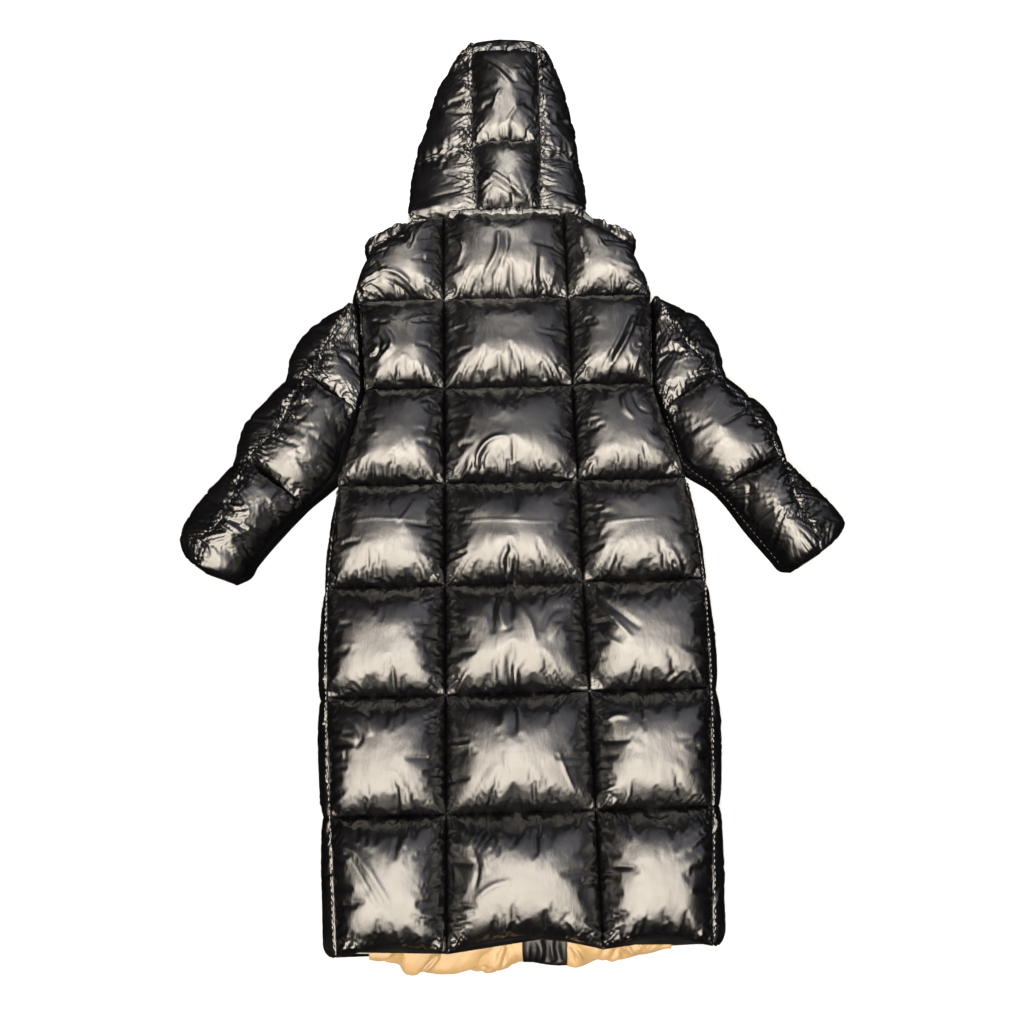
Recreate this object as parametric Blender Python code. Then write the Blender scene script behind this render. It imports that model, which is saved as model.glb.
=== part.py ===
"""A long hooded puffer coat that lies face down and flat on a surface, built as its maker would cut it.

Every piece is a padded wall, lofted through closed sections. The fronts, the front sleeve pieces and the sides of the
hood lie on the surface and wrap round the coat's edges. The back pieces lie on them, and their outer face is raised
into quilted cells with gathers along the stitched lines. Lengths in the tables are millimetres: X runs across the
coat, Y from the hem to the hood, and Z up from the surface. The coat is moved at the end so that the middle of its
box is over the origin.
"""

import math

import bmesh
import bpy

MM = 0.001  # metres in a millimetre

# ---- driving dimensions, mm -------------------------------------------------------------------------------------
ROW_PITCH = 175.0  # from one stitched row to the next, up the back
ROWS = 7
NECK_Y = ROWS * ROW_PITCH  # the neck seam
HEM_Y = -12.0  # the back's hem
FRONT_HEM_Y = -18.0  # the fronts' hem
COLUMN_HALF = 112.0  # half the width of the centre back panel
SEAM_GAP = 0.3  # between two pieces at a seam
INNER_Z = 40.0  # top of the layer that lies on the surface
SEAM_Z = 50.0  # outer face of the upper layer at a stitched line
BACK_RISE = 46.0  # how far a back cell stands above its stitched lines
HEM_INNER_Z = 24.0  # top of the fronts at their hem, where the lining lies over them
HEM_TAPER = 105.0  # length over which the fronts thin towards the hem
HEM_ARCH = {-1: 9.0, 0: 18.0, 1: 11.0}  # how far each back panel's hem draws up between its seams: left, middle, right
EDGE_NOTCH = 5.0  # how far a stitched line pulls the coat's outline in
ARMHOLE_LIP = 4.0  # seam allowance of the lower layer along the armhole
UNDERARM_Y = 738.0
YOKE_Y = 6 * ROW_PITCH  # the stitched line from shoulder to shoulder
NECK_SLOPE = 72.0  # how far the shoulder end of the neck seam lies below its middle
NECK_SLOPE_FROM, NECK_SLOPE_TO = 119.0, 240.0  # the half widths between which the neck seam slopes
GATHERS = 6  # gathers along one cell's stitched line
GATHER_DEPTH = 3.2
GATHER_REACH = 0.6  # how far a gather runs into its cell, as a share of half the cell
CELL_ROWS = 8  # sections in a cell

# The coat's side, the same on both sides: half width at the side seam and at the outline.
BODY_SIDE = [
    {"y": HEM_Y, "seam": 270.0, "edge": 291.0},
    {"y": 1 * ROW_PITCH, "seam": 285.0, "edge": 304.0},
    {"y": 2 * ROW_PITCH, "seam": 297.0, "edge": 315.0},
    {"y": 3 * ROW_PITCH, "seam": 302.0, "edge": 315.0},
    {"y": 4 * ROW_PITCH, "seam": 290.0, "edge": 299.0},
    {"y": UNDERARM_Y, "seam": 285.0, "edge": 290.0},
]
# The armhole seam, straight between these points.
ARMHOLE = [
    {"y": UNDERARM_Y, "x": 287.0},
    {"y": 5 * ROW_PITCH, "x": 254.0},
    {"y": YOKE_Y - 10.0, "x": 266.0},
]
# The free edge of the yoke, from the shoulder to the end of the neck seam. y is measured before the neck's slope.
YOKE_SIDE = [
    {"y": YOKE_Y - 10.0, "seam": 259.0, "edge": 265.5},
    {"y": YOKE_Y + 14.0, "seam": 263.0, "edge": 270.0},
    {"y": YOKE_Y + 50.0, "seam": 262.0, "edge": 274.0},
    {"y": YOKE_Y + 110.0, "seam": 252.0, "edge": 264.0},
    {"y": NECK_Y, "seam": 236.0, "edge": 243.0},
]
# A sleeve, station by station from the shoulder to the cuff. v counts quilted cells. Each station has three points:
# on the armhole or the inner edge, on the elbow seam, and on the outer edge.
SLEEVES = {
    "left": [
        {"v": 0.0, "inner": (266.4, 1040), "ridge": (273, 1046), "outer": (279, 1053)},
        {"v": 0.45, "inner": (258.6, 935), "ridge": (322, 972), "outer": (352, 1006)},
        {"v": 0.72, "inner": (254.4, 875), "ridge": (338, 930), "outer": (381, 958)},
        {"v": 1.0, "inner": (262.9, 839), "ridge": (352, 900), "outer": (399, 908)},
        {"v": 1.5, "inner": (287.0, UNDERARM_Y), "ridge": (399, 812), "outer": (456, 826)},
        {"v": 2.0, "inner": (352, 672), "ridge": (440, 745), "outer": (480, 750)},
        {"v": 2.5, "inner": (398, 620), "ridge": (480, 655), "outer": (524, 684)},
        {"v": 2.86, "inner": (437, 574), "ridge": (509, 603), "outer": (555, 620)},
        {"v": 3.0, "inner": (460, 552), "ridge": (513, 572), "outer": (540, 589)},
    ],
    "right": [
        {"v": 0.0, "inner": (266.4, 1040), "ridge": (273, 1045), "outer": (280, 1052)},
        {"v": 0.45, "inner": (258.6, 935), "ridge": (312, 958), "outer": (351, 1004)},
        {"v": 0.72, "inner": (254.4, 875), "ridge": (340, 922), "outer": (378, 956)},
        {"v": 1.0, "inner": (266.2, 825), "ridge": (360, 890), "outer": (392, 896)},
        {"v": 1.5, "inner": (287.0, UNDERARM_Y), "ridge": (417, 818), "outer": (450, 818)},
        {"v": 2.0, "inner": (355, 681), "ridge": (455, 733), "outer": (480, 733)},
        {"v": 2.5, "inner": (400, 612), "ridge": (476, 662), "outer": (526, 671)},
        {"v": 2.86, "inner": (437, 562), "ridge": (491, 607), "outer": (555, 618)},
        {"v": 3.0, "inner": (461, 545), "ridge": (505, 566), "outer": (541, 588)},
    ],
}
# Width of the front sleeve piece's band along the sleeve's inner edge. It is widest at the underarm.
SLEEVE_BAND = [
    {"v": 0.0, "width": ARMHOLE_LIP},
    {"v": 1.0, "width": ARMHOLE_LIP},
    {"v": 1.5, "width": 28.0},
    {"v": 2.0, "width": 6.0},
    {"v": 2.5, "width": 12.5},
    {"v": 3.0, "width": 6.0},
]
SLEEVE_CELLS = 3
SLEEVE_RISE = [22.0, 38.0, 36.0]  # back sleeve piece, cell by cell
SLEEVE_ROLL = [26.0, 32.0, 31.0]  # outer roll, cell by cell

# The hood, from the neck seam to the crown: outline and the two seams of its centre strip.
HOOD = [
    {"y": NECK_Y + 0.6, "edge_left": -163, "seam_left": -50, "seam_right": 69, "edge_right": 148},
    {"y": 1265.0, "edge_left": -172, "seam_left": -51, "seam_right": 70, "edge_right": 150},
    {"y": 1310.0, "edge_left": -165, "seam_left": -53, "seam_right": 72, "edge_right": 148},
    {"y": 1380.0, "edge_left": -163, "seam_left": -57, "seam_right": 75, "edge_right": 142},
    {"y": 1425.0, "edge_left": -152, "seam_left": -56, "seam_right": 75, "edge_right": 137},
    {"y": 1475.0, "edge_left": -137, "seam_left": -55, "seam_right": 76, "edge_right": 128},
    {"y": 1545.0, "edge_left": -123, "seam_left": -54, "seam_right": 76, "edge_right": 114},
    {"y": 1590.0, "edge_left": -106, "seam_left": -52, "seam_right": 75, "edge_right": 102},
    {"y": 1625.0, "edge_left": -86, "seam_left": -48, "seam_right": 70, "edge_right": 91},
    {"y": 1642.0, "edge_left": -62, "seam_left": -41, "seam_right": 62, "edge_right": 80},
]
HOOD_LINES = [NECK_Y + 0.6, 1378.0, 1592.0, 1642.0]  # stitched lines, and the crown's end
HOOD_INNER_Z = 50.0
HOOD_SEAM_Z = 62.0
HOOD_RISE = [44.0, 50.0, 24.0]
HOOD_ROLL = [34.0, 38.0, 18.0]
CROWN_FALL = 0.92  # how far round its quarter ellipse the crown goes before its end face
FACE_X = 10.0  # where the two edges of the face opening meet, underneath

# The stand collar: its near and far edge, and its height, at each distance from the middle.
COLLAR_Z = 38.0  # where it lies under the hood
COLLAR = [
    {"x": 0.0, "near": NECK_Y + 0.7, "far": 1275.0, "high": COLLAR_Z},
    {"x": NECK_SLOPE_FROM, "near": NECK_Y + 0.7, "far": 1275.0, "high": COLLAR_Z},
    {"x": 150.0, "near": 1208.5, "far": 1258.0, "high": COLLAR_Z},
    {"x": 173.0, "near": 1195.0, "far": 1233.0, "high": COLLAR_Z},
    {"x": 188.0, "near": 1186.0, "far": 1216.0, "high": 54.0},
    {"x": 222.0, "near": 1165.5, "far": 1202.0, "high": 57.0},
    {"x": 243.0, "near": 1155.0, "far": 1191.0, "high": 51.0},
    {"x": 253.0, "near": 1164.0, "far": 1180.0, "high": 40.0},
]
COLLAR_POINTS = 14  # round one section of the collar

# The closure's middle line leans from the hem to the neck, because the fronts lie a little to one side.
CLOSURE_HEM_X = 29.0
CLOSURE_HALF = 14.0
FACING_HALF = 32.0

# The crumpled lining below the hem: its outer edge at each place across the coat.
LINING_EDGE = [
    {"x": -255.0, "y": -21.5},
    {"x": -228.0, "y": -22.0},
    {"x": -205.0, "y": -27.0},
    {"x": -176.0, "y": -41.0},
    {"x": -125.0, "y": -41.0},
    {"x": -52.0, "y": -41.0},
    {"x": 0.0, "y": -36.0},
    {"x": 60.0, "y": -40.0},
    {"x": 110.0, "y": -34.0},
    {"x": 170.0, "y": -31.0},
    {"x": 244.0, "y": -22.0},
    {"x": 258.0, "y": -21.5},
]
LINING_TOP = 36.0
LINING_FOLD = 3.2
LINING_DEPTH = 60.0  # how far the lining is built into the coat
LINING_STEP = 10.0  # between two sections

MIDDLE_Y = 799.9  # middle of the coat's box, put over the origin


# ---- small helpers ----------------------------------------------------------------------------------------------
def blend(a, b, t):
    """The value a share t of the way from a to b."""
    return a + (b - a) * t


def between(table, key, value, column):
    """A column of a table at value, on straight lines from row to row. The key column runs upwards."""
    for low, high in zip(table, table[1:]):
        if value <= high[key] or high is table[-1]:
            share = (value - low[key]) / (high[key] - low[key])
            return blend(low[column], high[column], share)


def smooth(table, key, value, column):
    """The same on a smooth curve through the rows, whose slope at a row is that between its two neighbours."""
    last = len(table) - 1
    i = next((n for n in range(last) if value <= table[n + 1][key]), last - 1)

    def slope(n):
        low, high = table[max(n - 1, 0)], table[min(n + 1, last)]
        return (high[column] - low[column]) / (high[key] - low[key])

    low, high = table[i], table[i + 1]
    span = high[key] - low[key]
    t = (value - low[key]) / span
    return (
        low[column] * (2 * t**3 - 3 * t**2 + 1)
        + high[column] * (3 * t**2 - 2 * t**3)
        + slope(i) * span * (t**3 - 2 * t**2 + t)
        + slope(i + 1) * span * (t**3 - t**2)
    )


def spread(count):
    """Places from -1 to 1 that lie closer together near the ends, where a cell is steep."""
    return [math.sin(math.pi / 2 * (2 * n / count - 1)) for n in range(count + 1)]


def across_cell():
    """Places from -1 to 1 across a cell: each gather's ridge and trough, and more at the steep sides."""
    waves = [n / GATHERS for n in range(-GATHERS, GATHERS + 1)]
    return sorted(waves + [-0.985, -0.93, 0.93, 0.985])


def dome(share):
    """A round crown: 1 in the middle and 0 at -1 and 1, where it is steep."""
    return math.sqrt(max(0.0, 1.0 - share * share))


def places(lines, corners=()):
    """The sections between stitched lines, as (place, cell, share), with share from -1 to 1 across the cell.
    The section nearest each corner is moved onto it."""
    found = []
    for cell, (low, high) in enumerate(zip(lines, lines[1:])):
        for share in spread(CELL_ROWS)[0 if cell == 0 else 1 :]:
            found.append([(low + high) / 2 + share * (high - low) / 2, cell, share])
    for corner in corners:
        nearest = min(found, key=lambda p: abs(p[0] - corner))
        low, high = lines[nearest[1]], lines[nearest[1] + 1]
        nearest[0], nearest[2] = corner, (2 * corner - low - high) / (high - low)
    return found


def quilt(across, along, rise, turn):
    """Height of a quilted cell above its stitched lines, with gathers that fade towards its middle.

    turn makes the gathers uneven, and not the same from cell to cell."""
    crown = rise * dome(across) * dome(along)
    near_line = max(0.0, 1.0 - (1.0 - abs(along)) / GATHER_REACH)
    uneven = 0.7 + 0.3 * math.sin(8.0 * across + 2.6 * turn + 1.9 * math.copysign(1.0, along))
    wave = uneven * math.cos(math.pi * GATHERS * across) * math.copysign(1.0, along)
    return crown + 2.2 * GATHER_DEPTH * wave * near_line * dome(along) * dome(across)


# ---- making solids ----------------------------------------------------------------------------------------------
NYLON = {"cloth": "nylon", "colour": (0.012, 0.012, 0.014), "roughness": 0.28}
LINING = {"cloth": "lining", "colour": (0.78, 0.58, 0.33), "roughness": 0.5}


def material(name, cloth, colour, roughness):
    made = bpy.data.materials.new(f"{name} {cloth}")
    made.use_nodes = True
    shader = made.node_tree.nodes["Principled BSDF"]
    shader.inputs["Base Color"].default_value = (*colour, 1.0)
    shader.inputs["Roughness"].default_value = roughness
    made.diffuse_color = (*colour, 1.0)
    return made


def loft(name, sections, finish):
    """A closed wall through sections, each a closed ring of the same number of points, with a cap at each end."""
    bm = bmesh.new()
    rings = [
        [bm.verts.new((x * MM, (y - MIDDLE_Y) * MM, z * MM)) for x, y, z in section]
        for section in sections
    ]
    for ring, following in zip(rings, rings[1:]):
        for n in range(len(ring)):
            m = (n + 1) % len(ring)
            bm.faces.new((ring[n], ring[m], following[m], following[n]))
    caps = [bm.faces.new(rings[0]), bm.faces.new(rings[-1])]
    bmesh.ops.triangulate(bm, faces=caps)
    bmesh.ops.recalc_face_normals(bm, faces=bm.faces[:])
    mesh = bpy.data.meshes.new(name)
    bm.to_mesh(mesh)
    bm.free()
    mesh.shade_smooth()
    mesh.set_sharp_from_angle(angle=math.radians(50))
    made = bpy.data.objects.new(name, mesh)
    made.data.materials.append(material(name, **finish))
    bpy.context.scene.collection.objects.link(made)
    return made


def split_faces(made):
    """Splits each four-cornered face in two, because the corners of a face on a fold aren't in one plane."""
    bm = bmesh.new()
    bm.from_mesh(made.data)
    bmesh.ops.triangulate(bm, faces=bm.faces[:])
    bm.to_mesh(made.data)
    bm.free()


def roll(distance_seam, distance_edge, seam_z, crest_z, steps):
    """The outer roll of a wrapping piece, from its seam over the edge to the surface, as (distance, z).

    An ellipse stands on the surface, flattened where it rests, and its top is drawn down into the seam."""
    width = distance_edge - distance_seam
    reach = width if crest_z <= seam_z else 0.6 * width
    middle, high = distance_edge - reach, 0.55 * crest_z
    centre = crest_z - high
    start = math.acos(max(-1.0, (distance_seam - middle) / reach))
    end = -math.asin(min(1.0, centre / high))
    draw_in = 0.4 * width
    points = []
    for n in range(steps + 1):
        angle = blend(start, end, n / steps)
        along, z = middle + reach * math.cos(angle), centre + high * math.sin(angle)
        from_seam = along - distance_seam
        if z > seam_z and from_seam < draw_in:
            z = seam_z + (z - seam_z) * dome(1.0 - from_seam / draw_in)
        points.append((along, seam_z if n == 0 else max(0.0, z)))
    return points


def sloped(x, y):
    """y after the neck seam's slope, which grows through the top row towards its outer end."""
    share = max(0.0, (y - YOKE_Y) / ROW_PITCH)
    out = max(0.0, (abs(x) - NECK_SLOPE_FROM) / (NECK_SLOPE_TO - NECK_SLOPE_FROM))
    return y - NECK_SLOPE * share * out


def fronts_top(y):
    """Height of the inner face of the fronts, which thin towards the hem."""
    share = min(1.0, max(0.0, (y - FRONT_HEM_Y) / HEM_TAPER))
    return blend(HEM_INNER_Z, INNER_Z, math.sin(math.pi / 2 * share))


# ---- the body ---------------------------------------------------------------------------------------------------
def side_seam(y):
    """Half width at the seam that joins the back to the front or, higher up, along the armhole."""
    if y <= UNDERARM_Y:
        return smooth(BODY_SIDE, "y", y, "seam")
    if y < YOKE_Y - 10.0:
        return between(ARMHOLE, "y", y, "x") - ARMHOLE_LIP
    return smooth(YOKE_SIDE, "y", y, "seam")


def outline(y, along):
    """Half width at the outline, drawn in at the stitched lines."""
    if UNDERARM_Y - 1.0 < y < YOKE_Y - 9.0:
        return between(ARMHOLE, "y", y, "x") - SEAM_GAP / 2
    table = BODY_SIDE if y < UNDERARM_Y else YOKE_SIDE
    free = smooth(table, "y", y, "edge") - smooth(table, "y", y, "seam")
    notch = EDGE_NOTCH * (1.0 - dome(along)) if y > ROW_PITCH / 2 else 0.0
    return side_seam(y) + max(free - notch, min(free, 6.0))


def body_places():
    lines = [HEM_Y] + [n * ROW_PITCH for n in range(1, ROWS + 1)]
    return places(lines, corners=(UNDERARM_Y, YOKE_Y - 10.0))


def back_panel(name, finish, side):
    """One column of the back. side is -1 or 1 for the outer columns and 0 for the middle one."""
    sections = []
    for y, cell, share in body_places():
        if side:
            low, high = COLUMN_HALF + SEAM_GAP / 2, side_seam(y) - SEAM_GAP
        else:
            low, high = -COLUMN_HALF + SEAM_GAP / 2, COLUMN_HALF - SEAM_GAP / 2
        hem_pull = max(0.0, -share) ** 3 if cell == 0 else 0.0
        section = []
        for across in across_cell():
            x = blend(low, high, (across + 1) / 2) * (side or 1)
            arch = HEM_ARCH[side] * (1.0 - across * across) * hem_pull
            z = SEAM_Z + quilt(across, share, BACK_RISE, cell + 3 * side)
            section.append((x, sloped(x, y + arch), z))
        for across in (1.0, 0.45, -0.45, -1.0):
            x = blend(low, high, (across + 1) / 2) * (side or 1)
            arch = HEM_ARCH[side] * (1.0 - across * across) * hem_pull
            section.append((x, sloped(x, y + arch), INNER_Z + SEAM_GAP))
        sections.append(section)
    return loft(name, sections, finish)


def closure_x(y):
    """Middle line of the front closure."""
    return CLOSURE_HEM_X * (1.0 - max(0.0, y) / NECK_Y)


def front_piece(name, finish, side):
    """One front: it lies under the coat and wraps round its side up to the side seam."""
    sections = []
    for y, _, share in body_places():
        y = FRONT_HEM_Y if y == HEM_Y else y
        inner = closure_x(y) + side * (CLOSURE_HALF + SEAM_GAP)
        bend, seam, top = side * NECK_SLOPE_FROM, side_seam(y), fronts_top(y)
        rolled = roll(seam, outline(y, share), SEAM_Z, SEAM_Z, 5)
        section = [(side * along, z) for along, z in rolled]
        section += [(bend, 0.0), (inner, 0.0), (inner, top), (bend, top), (side * seam, top)]
        sections.append([(x, sloped(x, y), z) for x, z in section])
    return loft(name, sections, finish)


def front_closure(name, finish):
    """The closed zip with its padded fly, a strip between the two fronts."""
    sections = []
    for y, _, _ in body_places()[::4]:
        y = FRONT_HEM_Y if y == HEM_Y else y
        low, high = closure_x(y) - CLOSURE_HALF, closure_x(y) + CLOSURE_HALF
        top = fronts_top(y)
        sections.append([(low, y, 0.0), (high, y, 0.0), (high, y, top), (low, y, top)])
    return loft(name, sections, finish)


# ---- the sleeves ------------------------------------------------------------------------------------------------
def station(side, v):
    """The three points of a sleeve's section at v. The armhole is straight and the free edges are smooth."""
    table = SLEEVES[side]
    rows = [
        {"v": row["v"], **{f"{k}{n}": row[k][n] for k in ("inner", "ridge", "outer") for n in (0, 1)}}
        for row in table
    ]
    inner = between if v <= 1.5 else smooth
    return (
        tuple(inner(rows, "v", v, f"inner{n}") for n in (0, 1)),
        tuple(smooth(rows, "v", v, f"ridge{n}") for n in (0, 1)),
        tuple(smooth(rows, "v", v, f"outer{n}") for n in (0, 1)),
    )


def toward(start, end, distance):
    """The plan point that lies a distance from start, towards end."""
    length = math.dist(start, end)
    return tuple(blend(a, b, distance / length) for a, b in zip(start, end))


def sleeve_places(side):
    corners = [row["v"] for row in SLEEVES[side] if row["v"] in (0.72, 1.5, 2.86)]
    return places(list(range(SLEEVE_CELLS + 1)), corners)


def mirrored(side, section):
    sign = -1.0 if side == "left" else 1.0
    return [(sign * x, y, z) for x, y, z in section]


def sleeve_back(name, finish, side):
    """The upper sleeve piece, from the underarm seam to the elbow seam."""
    sections = []
    for v, cell, share in sleeve_places(side):
        inner, ridge, _ = station(side, v)
        start = toward(inner, ridge, between(SLEEVE_BAND, "v", v, "width") + SEAM_GAP)
        end = toward(ridge, inner, SEAM_GAP / 2)
        section = []
        for across in across_cell():
            x, y = toward(start, end, math.dist(start, end) * (across + 1) / 2)
            section.append((x, y, SEAM_Z + quilt(across, share, SLEEVE_RISE[cell], cell)))
        section += [(*end, INNER_Z + SEAM_GAP), (*start, INNER_Z + SEAM_GAP)]
        sections.append(mirrored(side, section))
    return loft(name, sections, finish)


def sleeve_front(name, finish, side):
    """The sleeve piece that lies underneath and wraps round both edges."""
    sections = []
    for v, cell, share in sleeve_places(side):
        inner, ridge, outer = station(side, v)
        ridge = toward(ridge, outer, SEAM_GAP / 2)
        notch = EDGE_NOTCH * (1.0 - dome(share))
        width = math.dist(ridge, outer)
        width = max(width - notch, min(width, 6.0))
        crest = SEAM_Z + SLEEVE_ROLL[cell] * dome(share)
        section = [
            (*toward(ridge, outer, along), z)
            for along, z in roll(0.0, width, SEAM_Z, crest, 8)
        ]
        band = between(SLEEVE_BAND, "v", v, "width")
        if v <= 1.5:  # it stands against the body along the armhole
            wall = toward(inner, ridge, SEAM_GAP / 2)
            section += [(*wall, 0.0), (*wall, 0.8 * SEAM_Z)]
            section += [(*toward(inner, ridge, 0.35 * band), SEAM_Z + 0.1 * band)]
        else:  # its inner edge is free, and rolls
            rolled = reversed(roll(0.0, band, SEAM_Z, SEAM_Z, 3)[1:])
            section += [(*toward(inner, ridge, band - along), z) for along, z in rolled]
        seam = toward(inner, ridge, band)
        section += [(*seam, SEAM_Z), (*seam, INNER_Z), (*ridge, INNER_Z)]
        sections.append(mirrored(side, section))
    return loft(name, sections, finish)


# ---- the hood and the collar ------------------------------------------------------------------------------------
def hood_places():
    return places(HOOD_LINES)


def crown_fall(y):
    """Share of its height that the hood keeps past the last stitched line, where it rounds down to the surface."""
    return dome(CROWN_FALL * max(0.0, (y - HOOD_LINES[-2]) / (HOOD_LINES[-1] - HOOD_LINES[-2])))


def hood_centre(name, finish):
    sections = []
    for y, cell, share in hood_places():
        low = smooth(HOOD, "y", y, "seam_left") + SEAM_GAP / 2
        high = smooth(HOOD, "y", y, "seam_right") - SEAM_GAP / 2
        fall = crown_fall(y)
        section = []
        for across in across_cell():
            z = (HOOD_SEAM_Z + quilt(across, share, HOOD_RISE[cell], cell)) * fall
            section.append((blend(low, high, (across + 1) / 2), y, z))
        section += [(x, y, HOOD_INNER_Z * fall + SEAM_GAP) for x in (high, low)]
        sections.append(section)
    return loft(name, sections, finish)


def hood_side(name, finish, side):
    """One side of the hood: from the centre strip's seam round the edge to the face opening underneath."""
    which = "left" if side < 0 else "right"
    sections = []
    for y, cell, share in hood_places():
        seam = side * smooth(HOOD, "y", y, f"seam_{which}")
        edge = side * smooth(HOOD, "y", y, f"edge_{which}") - EDGE_NOTCH * (1.0 - dome(share))
        fall = crown_fall(y)
        crest = (HOOD_SEAM_Z + HOOD_ROLL[cell] * dome(share)) * fall
        rolled = roll(seam, edge, HOOD_SEAM_Z * fall, crest, 8)
        face = FACE_X + side * SEAM_GAP / 2
        section = [(side * along, y, z) for along, z in rolled]
        section += [(face, y, 0.0), (face, y, HOOD_INNER_Z * fall), (side * seam, y, HOOD_INNER_Z * fall)]
        sections.append(section)
    made = loft(name, sections, finish)
    cut = made.modifiers.new("room for the collar", "BOOLEAN")
    cut.operation, cut.solver, cut.object = "DIFFERENCE", "EXACT", collar_room(name)
    return made


def collar_room(name):
    """A block where the collar passes under the hood, cut from the hood's side."""
    bpy.ops.mesh.primitive_cube_add(size=1.0)
    room = bpy.context.object
    room.name = f"{name} collar cutter"
    near, far, top = NECK_Y - 30.0, 1276.0, COLLAR_Z + 1.0
    room.scale = (0.5, (far - near) * MM, 2 * top * MM)
    room.location = (0.0, ((near + far) / 2 - MIDDLE_Y) * MM, 0.0)
    room.hide_render = True
    room.display_type = "WIRE"
    return room


def collar(name, finish):
    """The stand collar, folded flat: a band under the hood, whose two ends stand out beside it."""
    rows = [{**row, "x": -row["x"]} for row in reversed(COLLAR[1:])] + COLLAR
    sections = []
    for row in rows:
        middle, half = (row["near"] + row["far"]) / 2, (row["far"] - row["near"]) / 2
        high = row["high"] / 2
        section = []
        for n in range(COLLAR_POINTS):
            angle = 2 * math.pi * (n + 0.5) / COLLAR_POINTS
            c, s = math.cos(angle), math.sin(angle)
            y = middle + half * math.copysign(abs(c) ** 0.5, c)
            z = high + high * math.copysign(min(1.0, 1.12 * abs(s) ** 0.6), s)
            section.append((row["x"], y, max(0.0, z)))
        sections.append(section)
    return loft(name, sections, finish)


# ---- the lining at the hem --------------------------------------------------------------------------------------
def hem_filling(name, finish, low, high):
    """Cloth that lies on the fronts' inner face at the hem and hangs over their edge, in soft folds."""
    count = max(4, round((high - low) / LINING_STEP))
    under = [y for y, _, _ in reversed(body_places()) if HEM_Y < y < LINING_DEPTH]  # the fronts' own sections
    sections = []
    for n in range(count + 1):
        x = blend(low, high, n / count)
        edge = smooth(LINING_EDGE, "x", x, "y")
        ends = min(1.0, 4.0 * min(n, count - n) / count + 0.3)
        fold = LINING_FOLD * ends * math.sin(x / 13.0 + 1.3 * math.sin(x / 47.0))
        front = FRONT_HEM_Y - SEAM_GAP
        section = [(front, 1.0 + 0.2 * fold), (min(edge + 4.0, front - 0.6), 1.0 + 0.2 * fold), (edge, 8.0)]
        section += [(min(edge + 3.0, front - 2.2), 19.0 + 0.7 * fold), (front - 1.0, LINING_TOP - 8.0 + 0.8 * fold)]
        section += [(front + 1.0, LINING_TOP - 6.0 + fold)]
        for y in (LINING_DEPTH * 0.05, LINING_DEPTH / 2):
            section.append((y, min(max(LINING_TOP + fold, fronts_top(y) + 1.5), INNER_Z - 0.3)))
        section += [(LINING_DEPTH * 0.75, INNER_Z - 0.4), (LINING_DEPTH, INNER_Z)]
        section += [(y, fronts_top(y) + SEAM_GAP) for y in (LINING_DEPTH, *under, front)]
        sections.append([(x, y, z) for y, z in section])
    made = loft(name, sections, finish)
    split_faces(made)
    return made


# ---- the whole coat ---------------------------------------------------------------------------------------------
def clear_scene():
    for obj in list(bpy.data.objects):
        bpy.data.objects.remove(obj)


def build_coat():
    back_panel("back_centre", NYLON, 0)
    front_closure("front_closure", NYLON)
    for side, name in ((-1, "left"), (1, "right")):
        back_panel(f"back_{name}", NYLON, side)
        front_piece(f"front_{name}", NYLON, side)
        sleeve_back(f"sleeve_{name}_back", NYLON, name)
        sleeve_front(f"sleeve_{name}_front", NYLON, name)
        hood_side(f"hood_{name}", NYLON, side)
    hood_centre("hood_centre", NYLON)
    collar("collar", NYLON)
    facing_low, facing_high = CLOSURE_HEM_X - FACING_HALF, CLOSURE_HEM_X + FACING_HALF
    hem_filling("facing", NYLON, facing_low, facing_high)
    hem_filling("lining_left", LINING, LINING_EDGE[0]["x"], facing_low - SEAM_GAP)
    hem_filling("lining_right", LINING, facing_high + SEAM_GAP, LINING_EDGE[-1]["x"])


clear_scene()
build_coat()
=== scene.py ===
# %% [markdown]
# # A long puffer coat, quilted and laid face down
#
# A down coat is a stack of padded panels. Each panel is two layers of thin glossy nylon with down between them,
# stitched through in a grid so that the down can't move. Between the stitches the cloth swells into cells, and
# because a flat piece of cloth is longer than the seam that it is drawn into, it gathers beside every stitch.
#
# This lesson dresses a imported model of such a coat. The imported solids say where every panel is. We replace each of
# them by a finer piece: a grid of points worked out by formula, blown up by Blender's cloth simulation, and closed
# into a wall.

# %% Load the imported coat
import math

import bpy
import numpy as np
from mathutils import Matrix


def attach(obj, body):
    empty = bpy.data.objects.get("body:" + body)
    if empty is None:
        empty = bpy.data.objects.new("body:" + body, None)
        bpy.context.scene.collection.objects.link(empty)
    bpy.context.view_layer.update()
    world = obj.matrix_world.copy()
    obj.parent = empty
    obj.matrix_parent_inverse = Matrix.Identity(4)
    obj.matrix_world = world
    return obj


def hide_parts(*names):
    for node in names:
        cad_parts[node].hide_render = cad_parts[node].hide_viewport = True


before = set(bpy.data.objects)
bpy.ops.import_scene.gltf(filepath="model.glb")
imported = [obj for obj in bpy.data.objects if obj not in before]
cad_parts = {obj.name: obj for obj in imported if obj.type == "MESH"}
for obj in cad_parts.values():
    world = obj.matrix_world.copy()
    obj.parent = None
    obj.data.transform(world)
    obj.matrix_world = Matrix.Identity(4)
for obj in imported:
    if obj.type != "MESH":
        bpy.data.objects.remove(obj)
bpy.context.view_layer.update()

# %% [markdown]
# ## Camera
#
# The coat lies flat, and we look down at it from beside its hem. The camera hangs 1.4 m above the surface and is
# tilted by about 18 degrees towards the hood, so that the quilted rows grow towards the hem as they do to the eye.
# A matrix built from a place and three turns is easier to read than one made of bare numbers.


# %% Hang the camera
def turned(degrees, axis):
    """The matrix of a turn about X, Y or Z."""
    return Matrix.Rotation(math.radians(degrees), 4, axis)


def put_in_scene(made):
    """Links a new object to the scene and hands it back."""
    bpy.context.scene.collection.objects.link(made)
    return made


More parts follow.
